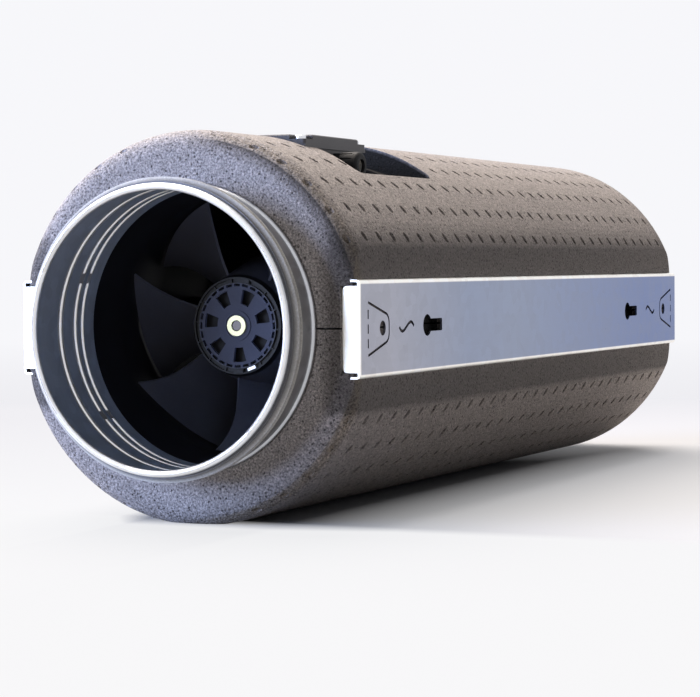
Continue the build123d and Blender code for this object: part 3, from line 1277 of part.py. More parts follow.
def earth_terminal():
    """Earth plate with its clamp screw."""
    wide, deep, tall = EARTH_PLATE
    x, y = EARTH_AT[0], BOX_Y + EARTH_AT[1]
    plate = block(x - wide / 2, x + wide / 2, y - deep / 2, y + deep / 2, PAD_TOP, PAD_TOP + tall)
    plate -= rod_z(EARTH_SCREW_R, PAD_TOP - FIT, PAD_TOP + tall + FIT, x, y)
    screw = screw_down(EARTH_SCREW_R, EARTH_SCREW_LEN + tall, EARTH_SCREW_HEAD_R, EARTH_SCREW_R,
                       PAD_TOP + tall, x, y)
    return group([plate, screw])


# ---------------------------------------------------------------- the assembly
def build():
    body = body_block()
    inlet_collar, inlet_seal, rail = collar(), lip_seal(), right_rail()
    back_flange = HOUSING_BACK - HOUSING_FLANGE_T - ISOLATOR_T
    return {
        "upper_shell": upper_shell(body), "lower_shell": lower_shell(body),
        "inlet_collar": inlet_collar, "outlet_collar": mirrored(inlet_collar),
        "inlet_lip_seal": inlet_seal, "outlet_lip_seal": mirrored(inlet_seal),
        "right_rail": rail, "left_rail": mirror(rail, Plane.YZ),
        "inlet_cone": inlet_cone(), "vane_housing": vane_housing(), "tail_cone": tail_cone(),
        "front_isolator": isolator(CONE_FRONT + HOUSING_FLANGE_T), "rear_isolator": isolator(back_flange),
        "housing_screws": housing_screws(), "silencer_lining": silencer_lining(),
        "fan_wheel": fan_wheel(), "balance_clip": balance_clip(), "hub_bush": hub_bush(),
        "motor_shaft": shaft(), "rotor_can": rotor_can(), "rotor_magnets": magnets(),
        "stator_core": stator_core(), "stator_windings": stator_windings(),
        "bearing_outer_rings": bearing_rings(True), "bearing_inner_rings": bearing_rings(False),
        "bearing_balls": bearing_balls(), "bearing_cages": bearing_cages(),
        "preload_spring": preload_spring(), "shaft_circlip": circlip(),
        "motor_flange": motor_flange(), "motor_screws": motor_screws(),
        "electronics_pot": electronics_pot(), "control_board": control_board(),
        "board_screws": board_screws(), "board_components": board_components(),
        "terminal_box_base": terminal_box_base(), "terminal_box_lid": terminal_box_lid(),
        "lid_seal": lid_seal(), "lid_screws": lid_screws(), "box_screws": box_screws(),
        "gland_body": gland_body(), "gland_nut": gland_nut(), "gland_seal": gland_seal(),
        "gland_locknuts": gland_locknuts(), "blanking_plug": blanking_plug(),
        "motor_cable": motor_cable(), "cable_grommet": cable_grommet(),
        "terminal_block": terminal_block(), "terminal_screws": terminal_screws(),
        "trimmer_body": trimmer_body(), "trimmer_knob": trimmer_knob(),
        "earth_terminal": earth_terminal(),
    }


place = Pos(0, -(RIM_IN + RIM_OUT) / 2, AXIS_H)
os.makedirs("parts", exist_ok=True)
for name, piece in build().items():
    export_step(Compound([place * solid for solid in piece.solids()]), f"parts/{name}.step")
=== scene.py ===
"""Foam shells, finishes and studio for the inline duct fan, laid out as an add-on and run as a script.

Lengths are in metres. The fan's axis runs along y from the inlet, and z is up.
"""
from math import cos, pi, radians, sin

import bpy
from bpy.props import FloatProperty, FloatVectorProperty, IntProperty, PointerProperty
from bpy.types import Operator, Panel, PropertyGroup
from mathutils import Matrix, Vector


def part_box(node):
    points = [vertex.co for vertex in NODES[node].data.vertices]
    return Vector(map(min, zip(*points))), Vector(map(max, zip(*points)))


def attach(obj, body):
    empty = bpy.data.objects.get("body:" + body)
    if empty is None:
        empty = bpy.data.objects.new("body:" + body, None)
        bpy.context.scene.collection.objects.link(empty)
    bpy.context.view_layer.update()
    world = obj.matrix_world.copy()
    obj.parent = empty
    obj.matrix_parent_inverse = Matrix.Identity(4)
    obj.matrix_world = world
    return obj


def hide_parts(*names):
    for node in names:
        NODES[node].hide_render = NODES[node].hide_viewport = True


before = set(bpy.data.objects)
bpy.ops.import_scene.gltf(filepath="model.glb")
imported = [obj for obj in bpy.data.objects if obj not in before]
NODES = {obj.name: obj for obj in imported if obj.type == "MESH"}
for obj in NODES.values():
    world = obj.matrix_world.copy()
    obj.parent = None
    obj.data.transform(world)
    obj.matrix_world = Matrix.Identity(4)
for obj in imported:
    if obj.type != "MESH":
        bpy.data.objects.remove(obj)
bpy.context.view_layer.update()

bl_info = {
    "name": "Inline duct fan finishes",
    "version": (1, 0, 0),
    "blender": (4, 5, 0),
    "location": "3D View > Sidebar > Duct fan",
    "description": "Moulds the foam shells, finishes every piece of the duct fan and lights it",
    "category": "Object",
}

CASING = "casing"


def middle(node):
    """Middle of a CAD node's box."""
    low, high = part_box(node)
    return (low + high) / 2


# ---------------------------------------------------------------- places on the fan
# Where a place is a pair of numbers, a mask is still 0 at the first and fully 1 at the second.

# The body: its axis, its radius and its inlet face, where its round skin ends at the side flats, and how
# far from the end faces its long sides begin.
AXIS_Z = middle("inlet_collar").z
BODY_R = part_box("upper_shell")[1].z - AXIS_Z
BODY_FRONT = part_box("upper_shell")[0].y
OFF_FLATS = (0.1261, 0.1257)
OFF_END_FACES = (0.010, 0.016)

# The pocket for the terminal box: its front, its back and half its width.
POCKET_FRONT, POCKET_BACK, POCKET_SIDE = -0.2655, -0.1235, 0.0850

# Depths below the round skin at which painted shade falls on a slit, a slit's bottom and the pocket's wall.
SLIT_WALL = (0.0001, 0.0010)
SLIT_BOTTOM = (0.0028, 0.0046)
POCKET_WALL = (0.0004, 0.0026)

# Bands across the inlet end's rounding, below 0 on its inner half and above 0 on its outer half: a band of
# painted shade and a brown band of painted warm light. Both keep to the right half, and the shaded one to
# the upper half too.
EDGE_SHADE_INNER, EDGE_SHADE_OUTER = (-0.0140, -0.0030), (-0.0010, -0.0024)
WARM_LIGHT_INNER, WARM_LIGHT_OUTER = (-0.0024, -0.0014), (0.0130, 0.0060)
RIGHT_HALF = (0.0, 0.03)
UPPER_HALF = (-0.02, 0.05)

# Painted shade round the side flats: heights from the axis, and distance from the axis.
BAND_TOP, BAND_OVER_AXIS = (0.0750, 0.0555), (-0.01, 0.0)
BAND_BOTTOM, BAND_UNDER_AXIS = (-0.0605, -0.0545), (0.01, 0.0)
BAND_SIDE = (0.100, 0.112)

# Rows of steam slits: each row's angle from the top and, beside the terminal box, the first slit that it
# leaves out and the first that it has again. The slits on the rounded ends sit lower.
SLIT_ROWS = ((22.2, (4, 11)), (32.2, (5, 11)), (42.5, None), (53.0, None), (62.9, None))
END_DROP = 0.0029

# The inlet collar: its radius and rim, how far the painted highlight on its rim reaches, and its other
# painted
# highlights along the beads: their distances from the rim, half widths and softness. Then the depths at
# which its inside begins.
COLLAR_R = BODY_R - 0.0383
RIM_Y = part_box("inlet_collar")[0].y
RIM_HIGHLIGHT = (0.0052, 0.0046)
COLLAR_HIGHLIGHTS = ((0.0396, 0.0038), (0.0595, 0.0034), (0.0692, 0.0022))
HIGHLIGHT_BLUR = 0.0004
INNER_SKIN = (0.0003, 0.0008)

# The collars' beads: the radius at which a bead's hollow has its middle, and the hollow's own radius, where
# a painted highlight goes.
BEAD_MIDDLE, BEAD_HOLLOW = COLLAR_R - 0.0011, 0.0024

# The lip seals' outer radius, and the depths under it over which the painted highlight on the lips' edge
# shows.
LIP_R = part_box("inlet_lip_seal")[1].x
LIP_HIGHLIGHT = (0.0034, 0.0006)

# The rails: front end and half height, and distances from them at which the zinc's painted reflection
# changes its tone and its painted highlights along the bends and at the inlet end begin.
RAIL_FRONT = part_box("right_rail")[0].y
RAIL_HALF_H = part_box("right_rail")[1].z - AXIS_Z
FRONT_REFLECTION, BACK_REFLECTION = (0.05, 0.20), (0.30, 0.65)
RAIL_BEND_HIGHLIGHT, RAIL_END_HIGHLIGHT = (0.0032, 0.0024), (0.0030, 0.0020)

# The wheel's hub: radius of its matt disc, and the inner and outer edges of the painted shade in the groove
# and on the rim round it.
HUB_DISC = (0.0306, 0.0302)
GROOVE_SHADE_INNER, GROOVE_SHADE_OUTER = (0.0306, 0.0312), (0.0372, 0.0368)

# The floor's size, how far the camera sees, and the distances behind the fan's middle, along the camera's
# view, over which the floor changes its bounce, its haze, its backdrop and its shadow.
FLOOR_SIZE, VIEW_END = 80.0, 200.0
BOUNCE_RISE, HAZE_RISE, WALL_RISE, SHADOW_FADE = (-0.05, 0.45), (-0.3, 0.8), (1.0, 3.5), (0.15, 1.1)

# Where painted light on the floor clears the fan's shadow in front, at the left and at the right, and how
# clear it gets.
CLEAR_FRONT, CLEAR_LEFT, CLEAR_RIGHT = (-0.335, -0.382), (-0.045, -0.075), (0.060, 0.150)
CLEAR, HALF_CLEAR, CLEAREST = 0.85, 0.42, 0.9

# Modelling: points closer than the weld are one, edges sharper than the crease stay sharp, and the slab
# that parts the shells reaches below the upper one by the overlap.
WELD = 0.000002
CREASE = radians(32.0)
OVERLAP = 0.01


# ---------------------------------------------------------------- properties
def length(name, text, default):
    return FloatProperty(name=name, description=text, default=default, unit="LENGTH", precision=5)


def angle(name, text, default):
    return FloatProperty(name=name, description=text, default=default, subtype="ANGLE")


def share(name, text, default):
    return FloatProperty(name=name, description=text, default=default, min=0.0, max=1.0,
                         subtype="FACTOR")


def strength(name, text, default):
    return FloatProperty(name=name, description=text, default=default, min=0.0)


def aim(name, text, *default):
    return FloatVectorProperty(name=name, description=text, default=default, subtype="DIRECTION")


def colour(name, text, *default):
    return FloatVectorProperty(name=name, description=text, default=default, subtype="COLOR",
                               min=0.0, max=1.0)


class DUCTFAN_foam(PropertyGroup):
    bead: length("Bead", "Width of one foam bead", 0.0030)
    tone: colour("Foam", "Colour of the moulded foam", 0.50, 0.46, 0.45)
    # Painted warm light: the brown that the outer half of the inlet end's rounding takes on the right.
    brown: colour("Brown edge", "Colour on the outer half of the inlet end's rounding",
                  0.43, 0.375, 0.325)
    edge: length("Edge", "Rounding of both ends", 0.018)
    slit_length: length("Slit length", "Length of one steam slit", 0.0088)
    slit_width: length("Slit width", "Width of one steam slit", 0.0056)
    slit_depth: length("Slit depth", "Depth of one steam slit", 0.0026)
    slit_pitch: length("Slit pitch", "Distance between slits along the body", 0.0244)
    slit_start: length("First slit", "Inlet face to the first slit", 0.0068)
    slit_slant: angle("Slant", "Turn of a slit away from the girth", radians(28.0))
    slits: IntProperty(name="Slits", description="Slits in one full row", default=31, min=13)
    parting: length("Parting gap", "Gap between the two shells", 0.0011)


class DUCTFAN_steel(PropertyGroup):
    # The rails' tone is painted reflection: grey at the inlet, bluer and darker towards the outlet.
    rail: colour("Rails", "Colour of the rails' zinc", 0.26, 0.305, 0.42)
    rail_front_reflection: colour("Rail's inlet end", "Colour of the rails' zinc near the inlet", 0.36, 0.37, 0.43)
    rail_back_reflection: colour("Rail's outlet end", "Colour of the rails' zinc near the outlet",
                      0.145, 0.20, 0.39)
    # Painted highlight along the rails' bends and at their inlet end.
    bend: colour("Bends", "Colour of the zinc along the bends", 1.0, 0.97, 0.91)
    # Painted highlight along the collars' beads and rim.
    bead: colour("Beads", "Colour of the zinc along the collars' beads and rim", 1.0, 0.98, 0.95)
    # Painted light: a bluer copy of the zinc inside the inlet collar, where it is also far less metallic.
    inside: colour("Collar's inside", "Colour of the zinc inside the inlet collar", 0.46, 0.52, 0.61)
    collar: colour("Collars", "Colour of the collars' zinc", 0.52, 0.53, 0.55)
    spangle: length("Spangle", "Width of one zinc crystal", 0.009)
    roughness: share("Roughness", "Roughness of the zinc", 0.34)


class DUCTFAN_plastic(PropertyGroup):
    housing: colour("Housing", "Colour of the fan housing", 0.013, 0.013, 0.016)
    wheel: colour("Wheel", "Colour of the fan wheel", 0.105, 0.110, 0.140)
    # Painted shade in the hub's groove and on the rim round its disc.
    groove: colour("Hub's groove", "Colour of the groove and rim round the hub's disc",
                   0.006, 0.006, 0.007)
    disc: colour("Wheel's disc", "Colour of the matt disc at the wheel's front", 0.100, 0.108, 0.155)
    box: colour("Terminal box", "Colour of the terminal box", 0.075, 0.072, 0.080)
    gland: colour("Gland", "Colour of the cable gland", 0.018, 0.018, 0.020)
    terminal: colour("Terminals", "Colour of the terminal block", 0.48, 0.49, 0.48)
    knob: colour("Knob", "Colour of the speed knob", 0.56, 0.56, 0.54)
    rubber: colour("Rubber", "Colour of the seals", 0.085, 0.085, 0.105)
    dust: colour("Dust", "Colour of the dust on the rubber", 0.12, 0.118, 0.12)
    # Painted highlight on the lip seals' outer edges.
    lips: colour("Lips", "Colour of the worn edges of the lip seals", 0.82, 0.81, 0.78)
    lining: colour("Lining", "Colour of the silencer lining", 0.045, 0.045, 0.048)


class DUCTFAN_metal(PropertyGroup):
    brass: colour("Brass", "Colour of the bush, the bearing cages and the terminal screws",
                  0.60, 0.56, 0.32)
    earth: colour("Earth terminal", "Colour of the earth terminal's brass", 0.74, 0.66, 0.38)
    clip: colour("Balance clip", "Colour of the balance clip's zinc", 0.80, 0.80, 0.78)
    screws: colour("Screws", "Colour of the screws' bright zinc", 0.74, 0.75, 0.78)
    shaft: colour("Shaft", "Colour of the motor's shaft", 0.17, 0.150, 0.140)
    bearings: colour("Bearings", "Colour of the bearings' ground steel", 0.62, 0.63, 0.65)
    # Near black as painted shade, for the dark that shows through the wheel's windows.
    can: colour("Rotor can", "Colour of the rotor can's paint", 0.012, 0.012, 0.015)
    magnets: colour("Magnets", "Colour of the rotor's magnets", 0.15, 0.15, 0.16)
    core: colour("Core", "Colour of the stator's sheets", 0.42, 0.43, 0.46)
    copper: colour("Windings", "Colour of the enamelled copper", 0.72, 0.33, 0.14)
    castings: colour("Castings", "Colour of the motor's flange and electronics pot", 0.60, 0.61, 0.63)


class DUCTFAN_board(PropertyGroup):
    mask: colour("Solder mask", "Colour of the control board", 0.010, 0.085, 0.030)
    track: colour("Tracks", "Colour of the tracks under the solder mask", 0.022, 0.16, 0.055)
    pads: colour("Pads", "Colour of the tinned pads", 0.55, 0.55, 0.52)
    sleeves: colour("Components", "Colour of the components' sleeves", 0.045, 0.045, 0.055)


class DUCTFAN_stage(PropertyGroup):
    lens: FloatProperty(name="Lens", description="Focal length of the camera", default=118.2,
                        unit="CAMERA")
    shift: FloatVectorProperty(name="Shift", description="Shift of the camera's lens", size=2,
                               default=(-0.0188, -0.0251), precision=4)
    eye: FloatVectorProperty(name="Camera", description="Place of the camera", subtype="TRANSLATION",
                             unit="LENGTH", default=(0.7588, -1.7708, 0.1789))
    yaw: angle("Yaw", "Turn of the camera", 0.4198)
    pitch: angle("Pitch", "Fall of the camera", 0.0286)
    roll: angle("Roll", "Roll of the camera", -0.0067)
    floor: colour("Floor", "Colour of the floor", 0.68, 0.70, 0.74)
    bounce: colour("Bounce", "Colour that the floor throws back near the fan", 0.27, 0.265, 0.26)
    far_bounce: colour("Far bounce", "Colour that the floor throws back behind the fan",
                       0.80, 0.78, 0.76)
    # Also the glow of the painted light that clears part of the fan's shadow.
    near: colour("Near floor", "Colour of the floor just off the fan's shadow", 0.93, 0.93, 0.94)
    haze: colour("Far floor", "Colour of the floor towards the wall", 0.855, 0.85, 0.885)
    back: colour("Backdrop", "Colour behind the fan", 0.93, 0.93, 0.96)
    overhead: strength("Overhead lamp", "Strength of the overhead lamp", 4.85)
    overhead_tone: colour("Overhead colour", "Colour of the overhead lamp", 1.0, 0.90, 0.81)
    overhead_aim: aim("Overhead aim", "Way that the overhead lamp shines", 0.42, -0.32, -0.85)
    overhead_spread: angle("Overhead width", "Width of the overhead lamp", radians(55.0))
    window: strength("Window lamp", "Strength of the lamp at the left", 5.3)
    window_tone: colour("Window colour", "Colour of the lamp at the left", 0.49, 0.625, 1.0)
    window_aim: aim("Window aim", "Way that the lamp at the left shines", 0.72, 0.68, -0.08)
    window_spread: angle("Window width", "Width of the lamp at the left", radians(45.0))
    fill: strength("Fill", "Strength of the room's own light", 0.07)
    air: colour("Fill colour", "Colour of the room's own light", 0.95, 0.97, 1.0)


# ---------------------------------------------------------------- shader arithmetic
class Value:
    """A number that varies over a surface, so that shader sums read as plain arithmetic."""

    def __init__(self, nodes, socket):
        self.nodes = nodes
        self.socket = socket

    def sum(self, operation, *terms, clamp=False):
        """The Math node of that operation on those terms."""
        node = self.nodes.add("ShaderNodeMath", {"operation": operation, "use_clamp": clamp},
                              dict(enumerate(terms)))
        return Value(self.nodes, node.outputs[0])

    def __add__(self, other):
        return self.sum("ADD", self, other)

    def __sub__(self, other):
        return self.sum("SUBTRACT", self, other)

    def __rsub__(self, other):
        return self.sum("SUBTRACT", other, self)

    def __mul__(self, other):
        return self.sum("MULTIPLY", self, other)

    def __pow__(self, other):
        return self.sum("POWER", self, other)

    __radd__ = __add__
    __rmul__ = __mul__

    def size(self):
        """The number without its sign."""
        return self.sum("ABSOLUTE", self)

    def least(self, other):
        """The smaller of the two."""
        return self.sum("MINIMUM", self, other)

    def most(self, other):
        """The larger of the two."""
        return self.sum("MAXIMUM", self, other)

    def ramp(self, start, full):
        """0 up to start and 1 from full on, straight between them. It falls where full is below start."""
        return self.sum("MULTIPLY", self - start, 1 / (full - start), clamp=True)

    def around(self, spread, centre=1.0):
        """Swings round a centre, as far as the spread from end to end."""
        return self * spread + (centre - spread / 2)

    def dims(self, loss):
        """1 where the mask is 0, and less by the loss where it is 1."""
        return self * -loss + 1.0


class Nodes:
    """A tree of shader nodes, of a material or of the world."""

    def __init__(self, tree):
        self.tree = tree

    def add(self, kind, settings, sockets):
        """A node of that kind: its settings come first, and its sockets then get values or links."""
        node = self.tree.nodes.new(kind)
        for key, value in settings.items():
            setattr(node, key, value)
        return self.feed(node, sockets)

    def feed(self, node, sockets):
        """Gives a node's sockets their values or links."""
        for key, value in sockets.items():
            if isinstance(value, Value):
                value = value.socket
            if isinstance(value, bpy.types.NodeSocket):
                self.tree.links.new(value, node.inputs[key])
            else:
                node.inputs[key].default_value = value
        return node

    def looked_at(self):
        """1 for what the camera, a shiny surface or a clear one sees, and 0 for light that bounces."""
        path = self.add("ShaderNodeLightPath", {}, {})
        camera, glossy, through = (Value(self, path.outputs[f"Is {ray} Ray"])
                                   for ray in ("Camera", "Glossy", "Transmission"))
        return camera.most(glossy.most(through))

    def either(self, mask, first, second):
        """The first node's light where the mask is 0, and the second's where it is 1."""
        return self.add("ShaderNodeMixShader", {}, {0: mask, 1: first.outputs[0], 2: second.outputs[0]})


class Finish(Nodes):
    """One material, with its Principled shader and the nodes that feed it."""

    def __init__(self, name, **sockets):
        self.material = bpy.data.materials.new(name)
        self.material.use_nodes = True
        super().__init__(self.material.node_tree)
        self.shader = self.tree.nodes["Principled BSDF"]
        self.place = self.add("ShaderNodeTexCoord", {}, {}).outputs["Object"]
        self.wear(**sockets)

    def wear(self, **sockets):
        """Gives the Principled shader's sockets their values or links."""
        self.feed(self.shader, {name.replace("_", " "): value for name, value in sockets.items()})
        return self

    def stretched(self, x, y, z):
        """Object coordinates with each axis stretched."""
        return self.add("ShaderNodeMapping", {}, {"Vector": self.place, "Scale": (x, y, z)}).outputs[0]

    def noise(self, scale, detail=3.0, rough=0.55, where=None):
        """Soft cloudy noise, finer as the scale grows."""
        node = self.add("ShaderNodeTexNoise", {}, {"Vector": where or self.place, "Scale": scale,
                                                   "Detail": detail, "Roughness": rough})
        return Value(self, node.outputs["Fac"])

    def cells(self, width, feature="F1", where=None):
        """Voronoi cells about as wide as the width given."""
        return self.add("ShaderNodeTexVoronoi", {"feature": feature},
                        {"Vector": where or self.place, "Scale": 1 / width})

    def reach(self, cells):
        """Distance from each cell's middle, or from its border, in cell widths."""
        return Value(self, cells.outputs["Distance"])

    def chance(self, cells):
        """One random number from 0 to 1 for each cell."""
        split = self.add("ShaderNodeSeparateColor", {}, {0: cells.outputs["Color"]})
        return Value(self, split.outputs[0])

    def waves(self, width, distortion=0.0):
        """Even lines across the axis, one to each width."""
        node = self.add("ShaderNodeTexWave", {"bands_direction": "Y"},
                        {"Vector": self.place, "Scale": pi / (10 * width), "Distortion": distortion,
                         "Detail": 1.0})
        return Value(self, node.outputs["Fac"])

    def axes(self):
        """The three object coordinates as separate numbers."""
        split = self.add("ShaderNodeSeparateXYZ", {}, {0: self.place})
        return [Value(self, socket) for socket in split.outputs]

    def radius(self):
        """Distance from the fan's axis."""
        x, _, z = self.axes()
        height = z - AXIS_Z
        return (x * x + height * height) ** 0.5

    def blend(self, mask, low, high):
        """Colour low where the mask is 0 and colour high where it is 1."""
        node = self.add("ShaderNodeMix", {"data_type": "RGBA"},
                        {"Factor": mask, 6: self.opaque(low), 7: self.opaque(high)})
        return node.outputs[2]

    def shade(self, tone, factor):
        """A colour made lighter or darker by a varying factor."""
        scaled = self.add("ShaderNodeVectorMath", {"operation": "SCALE"},
                          {0: self.plain(tone), "Scale": factor})
        return scaled.outputs[0]

    @staticmethod
    def opaque(tone):
        """A colour as a Mix node takes it."""
        return tone if isinstance(tone, bpy.types.NodeSocket) else (*tone, 1.0)

    @staticmethod
    def plain(tone):
        """A colour as a Vector Math node takes it."""
        return tone if isinstance(tone, bpy.types.NodeSocket) else tuple(tone)

    def bump(self, height, depth):
        """Raises the surface by a height from 0 to 1, as deep as the depth."""
        node = self.add("ShaderNodeBump", {}, {"Height": height, "Distance": depth, "Strength": 1.0})
        return self.wear(Normal=node.outputs[0])


class FoamFinish(Finish):
    """The shells' foam, with masks for the painted shade and painted warm light on its edges, flats and
    cuts.
    """

    def __init__(self, name, foam, **sockets):
        super().__init__(name, **sockets)
        self.foam = foam

    def below_skin(self, depths):
        """1 where the foam lies deep enough below the body's round skin."""
        start, full = depths
        return self.radius().ramp(BODY_R - start, BODY_R - full)

    def long_side(self):
        """1 all along the body's sides, and 0 at its end faces."""
        start, full = OFF_END_FACES
        return self.axes()[1].size().ramp(-BODY_FRONT - start, -BODY_FRONT - full)

    def round_part(self):
        """1 between the rounded ends and off the side flats, where the skin is a plain cylinder."""
        x, y, _ = self.axes()
        end = -BODY_FRONT - self.foam.edge
        return y.size().ramp(end, end - 0.002) * x.size().ramp(*OFF_FLATS)

    def slit_shade(self):
        """1 inside the slits, where their painted shade falls."""
        return self.below_skin(SLIT_WALL) * self.round_part()

    def deep(self):
        """1 at the bottom of the slits, in the pocket and in the gap between the shells, where painted
        shade falls.
        """
        x, y, z = self.axes()
        pocket = y.ramp(POCKET_FRONT, POCKET_FRONT + 0.001) * y.ramp(POCKET_BACK, POCKET_BACK - 0.001)
        pocket = pocket * x.size().ramp(POCKET_SIDE, POCKET_SIDE - 0.001) * z.ramp(AXIS_Z, AXIS_Z + 0.01)
        pocket = pocket * self.below_skin(POCKET_WALL)
        half_gap = self.foam.parting / 2
        gap = (z - (AXIS_Z + half_gap)).size().ramp(half_gap + 0.0002, half_gap)
        return (pocket.most(self.below_skin(SLIT_BOTTOM) * self.round_part()) + gap).least(1.0)

    def round_the_edge(self):
        """Place across the inlet end's rounding: below 0 on its inner half and above 0 on its outer one."""
        _, y, _ = self.axes()
        return self.radius() + y - (BODY_R + BODY_FRONT)

    def edge_shade(self):
        """1 along a band of painted shade on the inner half of the inlet end's rounding, at the upper
        right.
        """
        x, _, z = self.axes()
        edge = self.round_the_edge()
        bottom, top = UPPER_HALF
        upper_right = x.ramp(*RIGHT_HALF) * z.ramp(AXIS_Z + bottom, AXIS_Z + top)
        return edge.ramp(*EDGE_SHADE_INNER) * edge.ramp(*EDGE_SHADE_OUTER) * upper_right

    def warm_light_edge(self):
        """1 on the outer half of the inlet end's rounding, on the right, where painted warm light falls."""
        edge = self.round_the_edge()
        return edge.ramp(*WARM_LIGHT_INNER) * edge.ramp(*WARM_LIGHT_OUTER) * self.axes()[0].ramp(*RIGHT_HALF)

    def flat_shade(self):
        """1 on the side flats and beside them, where painted shade falls."""
        x, _, z = self.axes()
        height = z - AXIS_Z
        upper = height.ramp(*BAND_TOP) * height.ramp(*BAND_OVER_AXIS)
        lower = height.ramp(*BAND_BOTTOM) * height.ramp(*BAND_UNDER_AXIS)
        return upper.most(lower) * x.size().ramp(*BAND_SIDE)


# ---------------------------------------------------------------- finishes
def foam_finish(foam):
    """Bead foam: mottled bead skins with fine seams and open pits, and painted shade and warm light on its
    edges and cuts.
    """
    finish = FoamFinish("bead_foam", foam, Specular_IOR_Level=0.30)
    bead = finish.chance(finish.cells(foam.bead))
    seam = finish.reach(finish.cells(foam.bead, "DISTANCE_TO_EDGE")).ramp(0.0, 0.22)
    pits = finish.cells(foam.bead * 0.75)
    closed = finish.chance(pits).ramp(0.17, 0.22)
    pit = (finish.reach(pits).ramp(0.20, 0.44) + closed).least(1.0)
    speckle = finish.noise(640.0, detail=2.0, rough=0.8)
    cloud = finish.noise(14.0)
    side = finish.long_side()
    grit = speckle.ramp(0.30, 0.70) * (1.55 - side * 0.50) + (side * 0.24 + 0.26)
    light = bead.around(0.22) * (seam * 0.12 + 0.88) * (pit * 0.75 + 0.27)
    light = light * grit * cloud.around(0.20)
    # Painted shade in the slits, at their bottoms, in the pocket and the gap between the shells, along the
    # inlet end's edge and round the side flats.
    light = light * finish.slit_shade().dims(0.35) * finish.edge_shade().dims(0.72)
    light = light * finish.deep().dims(0.94) * finish.flat_shade().dims(0.60)
    # Painted warm light: brown on the outer half of the inlet end's rounding, on the right.
    tone = finish.blend(finish.warm_light_edge(), foam.tone, foam.brown)
    finish.wear(Base_Color=finish.shade(tone, light), Roughness=speckle.around(0.14, 0.77))
    return finish.bump(seam * 0.4 + pit * 0.9 + speckle * 0.7, 0.0005)


def zinc_finish(name, steel, stretch, toned):
    """Galvanised sheet: faint crystals, rolling marks along the sheet and dull patches."""
    finish = Finish(name, Metallic=1.0)
    turned = finish.add("ShaderNodeMapping", {}, {"Vector": finish.place, "Rotation": (0.4, 0.3, 0.2)})
    spangle = finish.chance(finish.cells(steel.spangle, where=turned.outputs[0]))
    rolled = finish.noise(60.0, detail=4.0, where=finish.stretched(*stretch))
    dull = finish.noise(18.0, detail=4.0)
    light = spangle.around(0.14) * rolled.around(0.16) * dull.around(0.22)
    uneven = spangle * 0.07 + rolled * 0.10 + dull * 0.12
    finish.wear(Base_Color=finish.shade(toned(finish, steel), light),
                Roughness=uneven + (steel.roughness - 0.14))
    return finish.bump(rolled + spangle * 0.4, 0.00006)


def rail_tone(finish, steel):
    """The rails' zinc changes tone along the rail as painted reflection, with painted highlights on its
    bends and inlet end.
    """
    _, y, z = finish.axes()
    along = y - RAIL_FRONT
    tone = finish.blend(along.ramp(*FRONT_REFLECTION), steel.rail_front_reflection, steel.rail)
    tone = finish.blend(along.ramp(*BACK_REFLECTION), tone, steel.rail_back_reflection)
    below_top = RAIL_HALF_H - (z - AXIS_Z).size()
    # Painted highlight along the bends and at the inlet end.
    bright = (below_top.ramp(*RAIL_BEND_HIGHLIGHT) + along.ramp(*RAIL_END_HIGHLIGHT)).least(1.0)
    return finish.blend(bright, tone, steel.bend)


def collar_tone(finish, steel):
    """The collars' zinc: bluer and less metallic inside the inlet as painted light, with painted highlights
    on its beads and rim.
    """
    _, y, _ = finish.axes()
    start, full = INNER_SKIN
    # Painted light: inside the inlet the zinc is bluer and far less metallic, so that it takes the lamps'
    # light.
    inside = finish.radius().ramp(COLLAR_R - start, COLLAR_R - full) * y.ramp(0.0, -0.01)
    behind = y - RIM_Y
    # Painted highlights at the rim, along the beads and in the beads' hollows.
    bright = behind.ramp(*RIM_HIGHLIGHT) * inside
    out = finish.radius() - BEAD_MIDDLE
    for station, half in COLLAR_HIGHLIGHTS:
        along = behind - station
        hollow = (out * out + along * along).ramp(BEAD_HOLLOW ** 2 * 1.1, BEAD_HOLLOW ** 2)
        line = along.size().ramp(half + HIGHLIGHT_BLUR, half - HIGHLIGHT_BLUR) * inside
        bright = bright.most(hollow).most(line)
    finish.wear(Metallic=1.0 - (inside * 0.75).most(bright * 0.75) + bright * 0.45)
    return finish.blend(bright, finish.blend(inside, steel.collar, steel.inside), steel.bead)


def metal_finish(name, tone, roughness, stretch=(1.0, 1.0, 1.0), scale=260.0, depth=0.00003):
    """Plain metal with fine tool marks and a little uneven lustre."""
    finish = Finish(name, Metallic=1.0)
    marks = finish.noise(scale, detail=4.0, where=finish.stretched(*stretch))
    smudge = finish.noise(45.0)
    finish.wear(Base_Color=finish.shade(tone, marks.around(0.22) * smudge.around(0.18)),
                Roughness=marks * 0.12 + smudge * 0.14 + (roughness - 0.13))
    return finish.bump(marks, depth)


def moulded_finish(name, tone, roughness, grain=0.0007, depth=0.00004, flow=0.3, specular=0.5):
    """Moulded plastic: a fine eroded grain, with flow marks and slight wear that lighten it."""
    finish = Finish(name, Specular_IOR_Level=specular)
    texture = finish.noise(1 / grain, rough=0.6)
    flows = finish.noise(28.0, detail=4.0, where=finish.stretched(1.0, 0.35, 1.0))
    finish.wear(Base_Color=finish.shade(tone, texture.around(0.24) * flows.around(flow)),
                Roughness=texture * 0.10 + flows * 0.14 + (roughness - 0.12))
    return finish.bump(texture, depth)


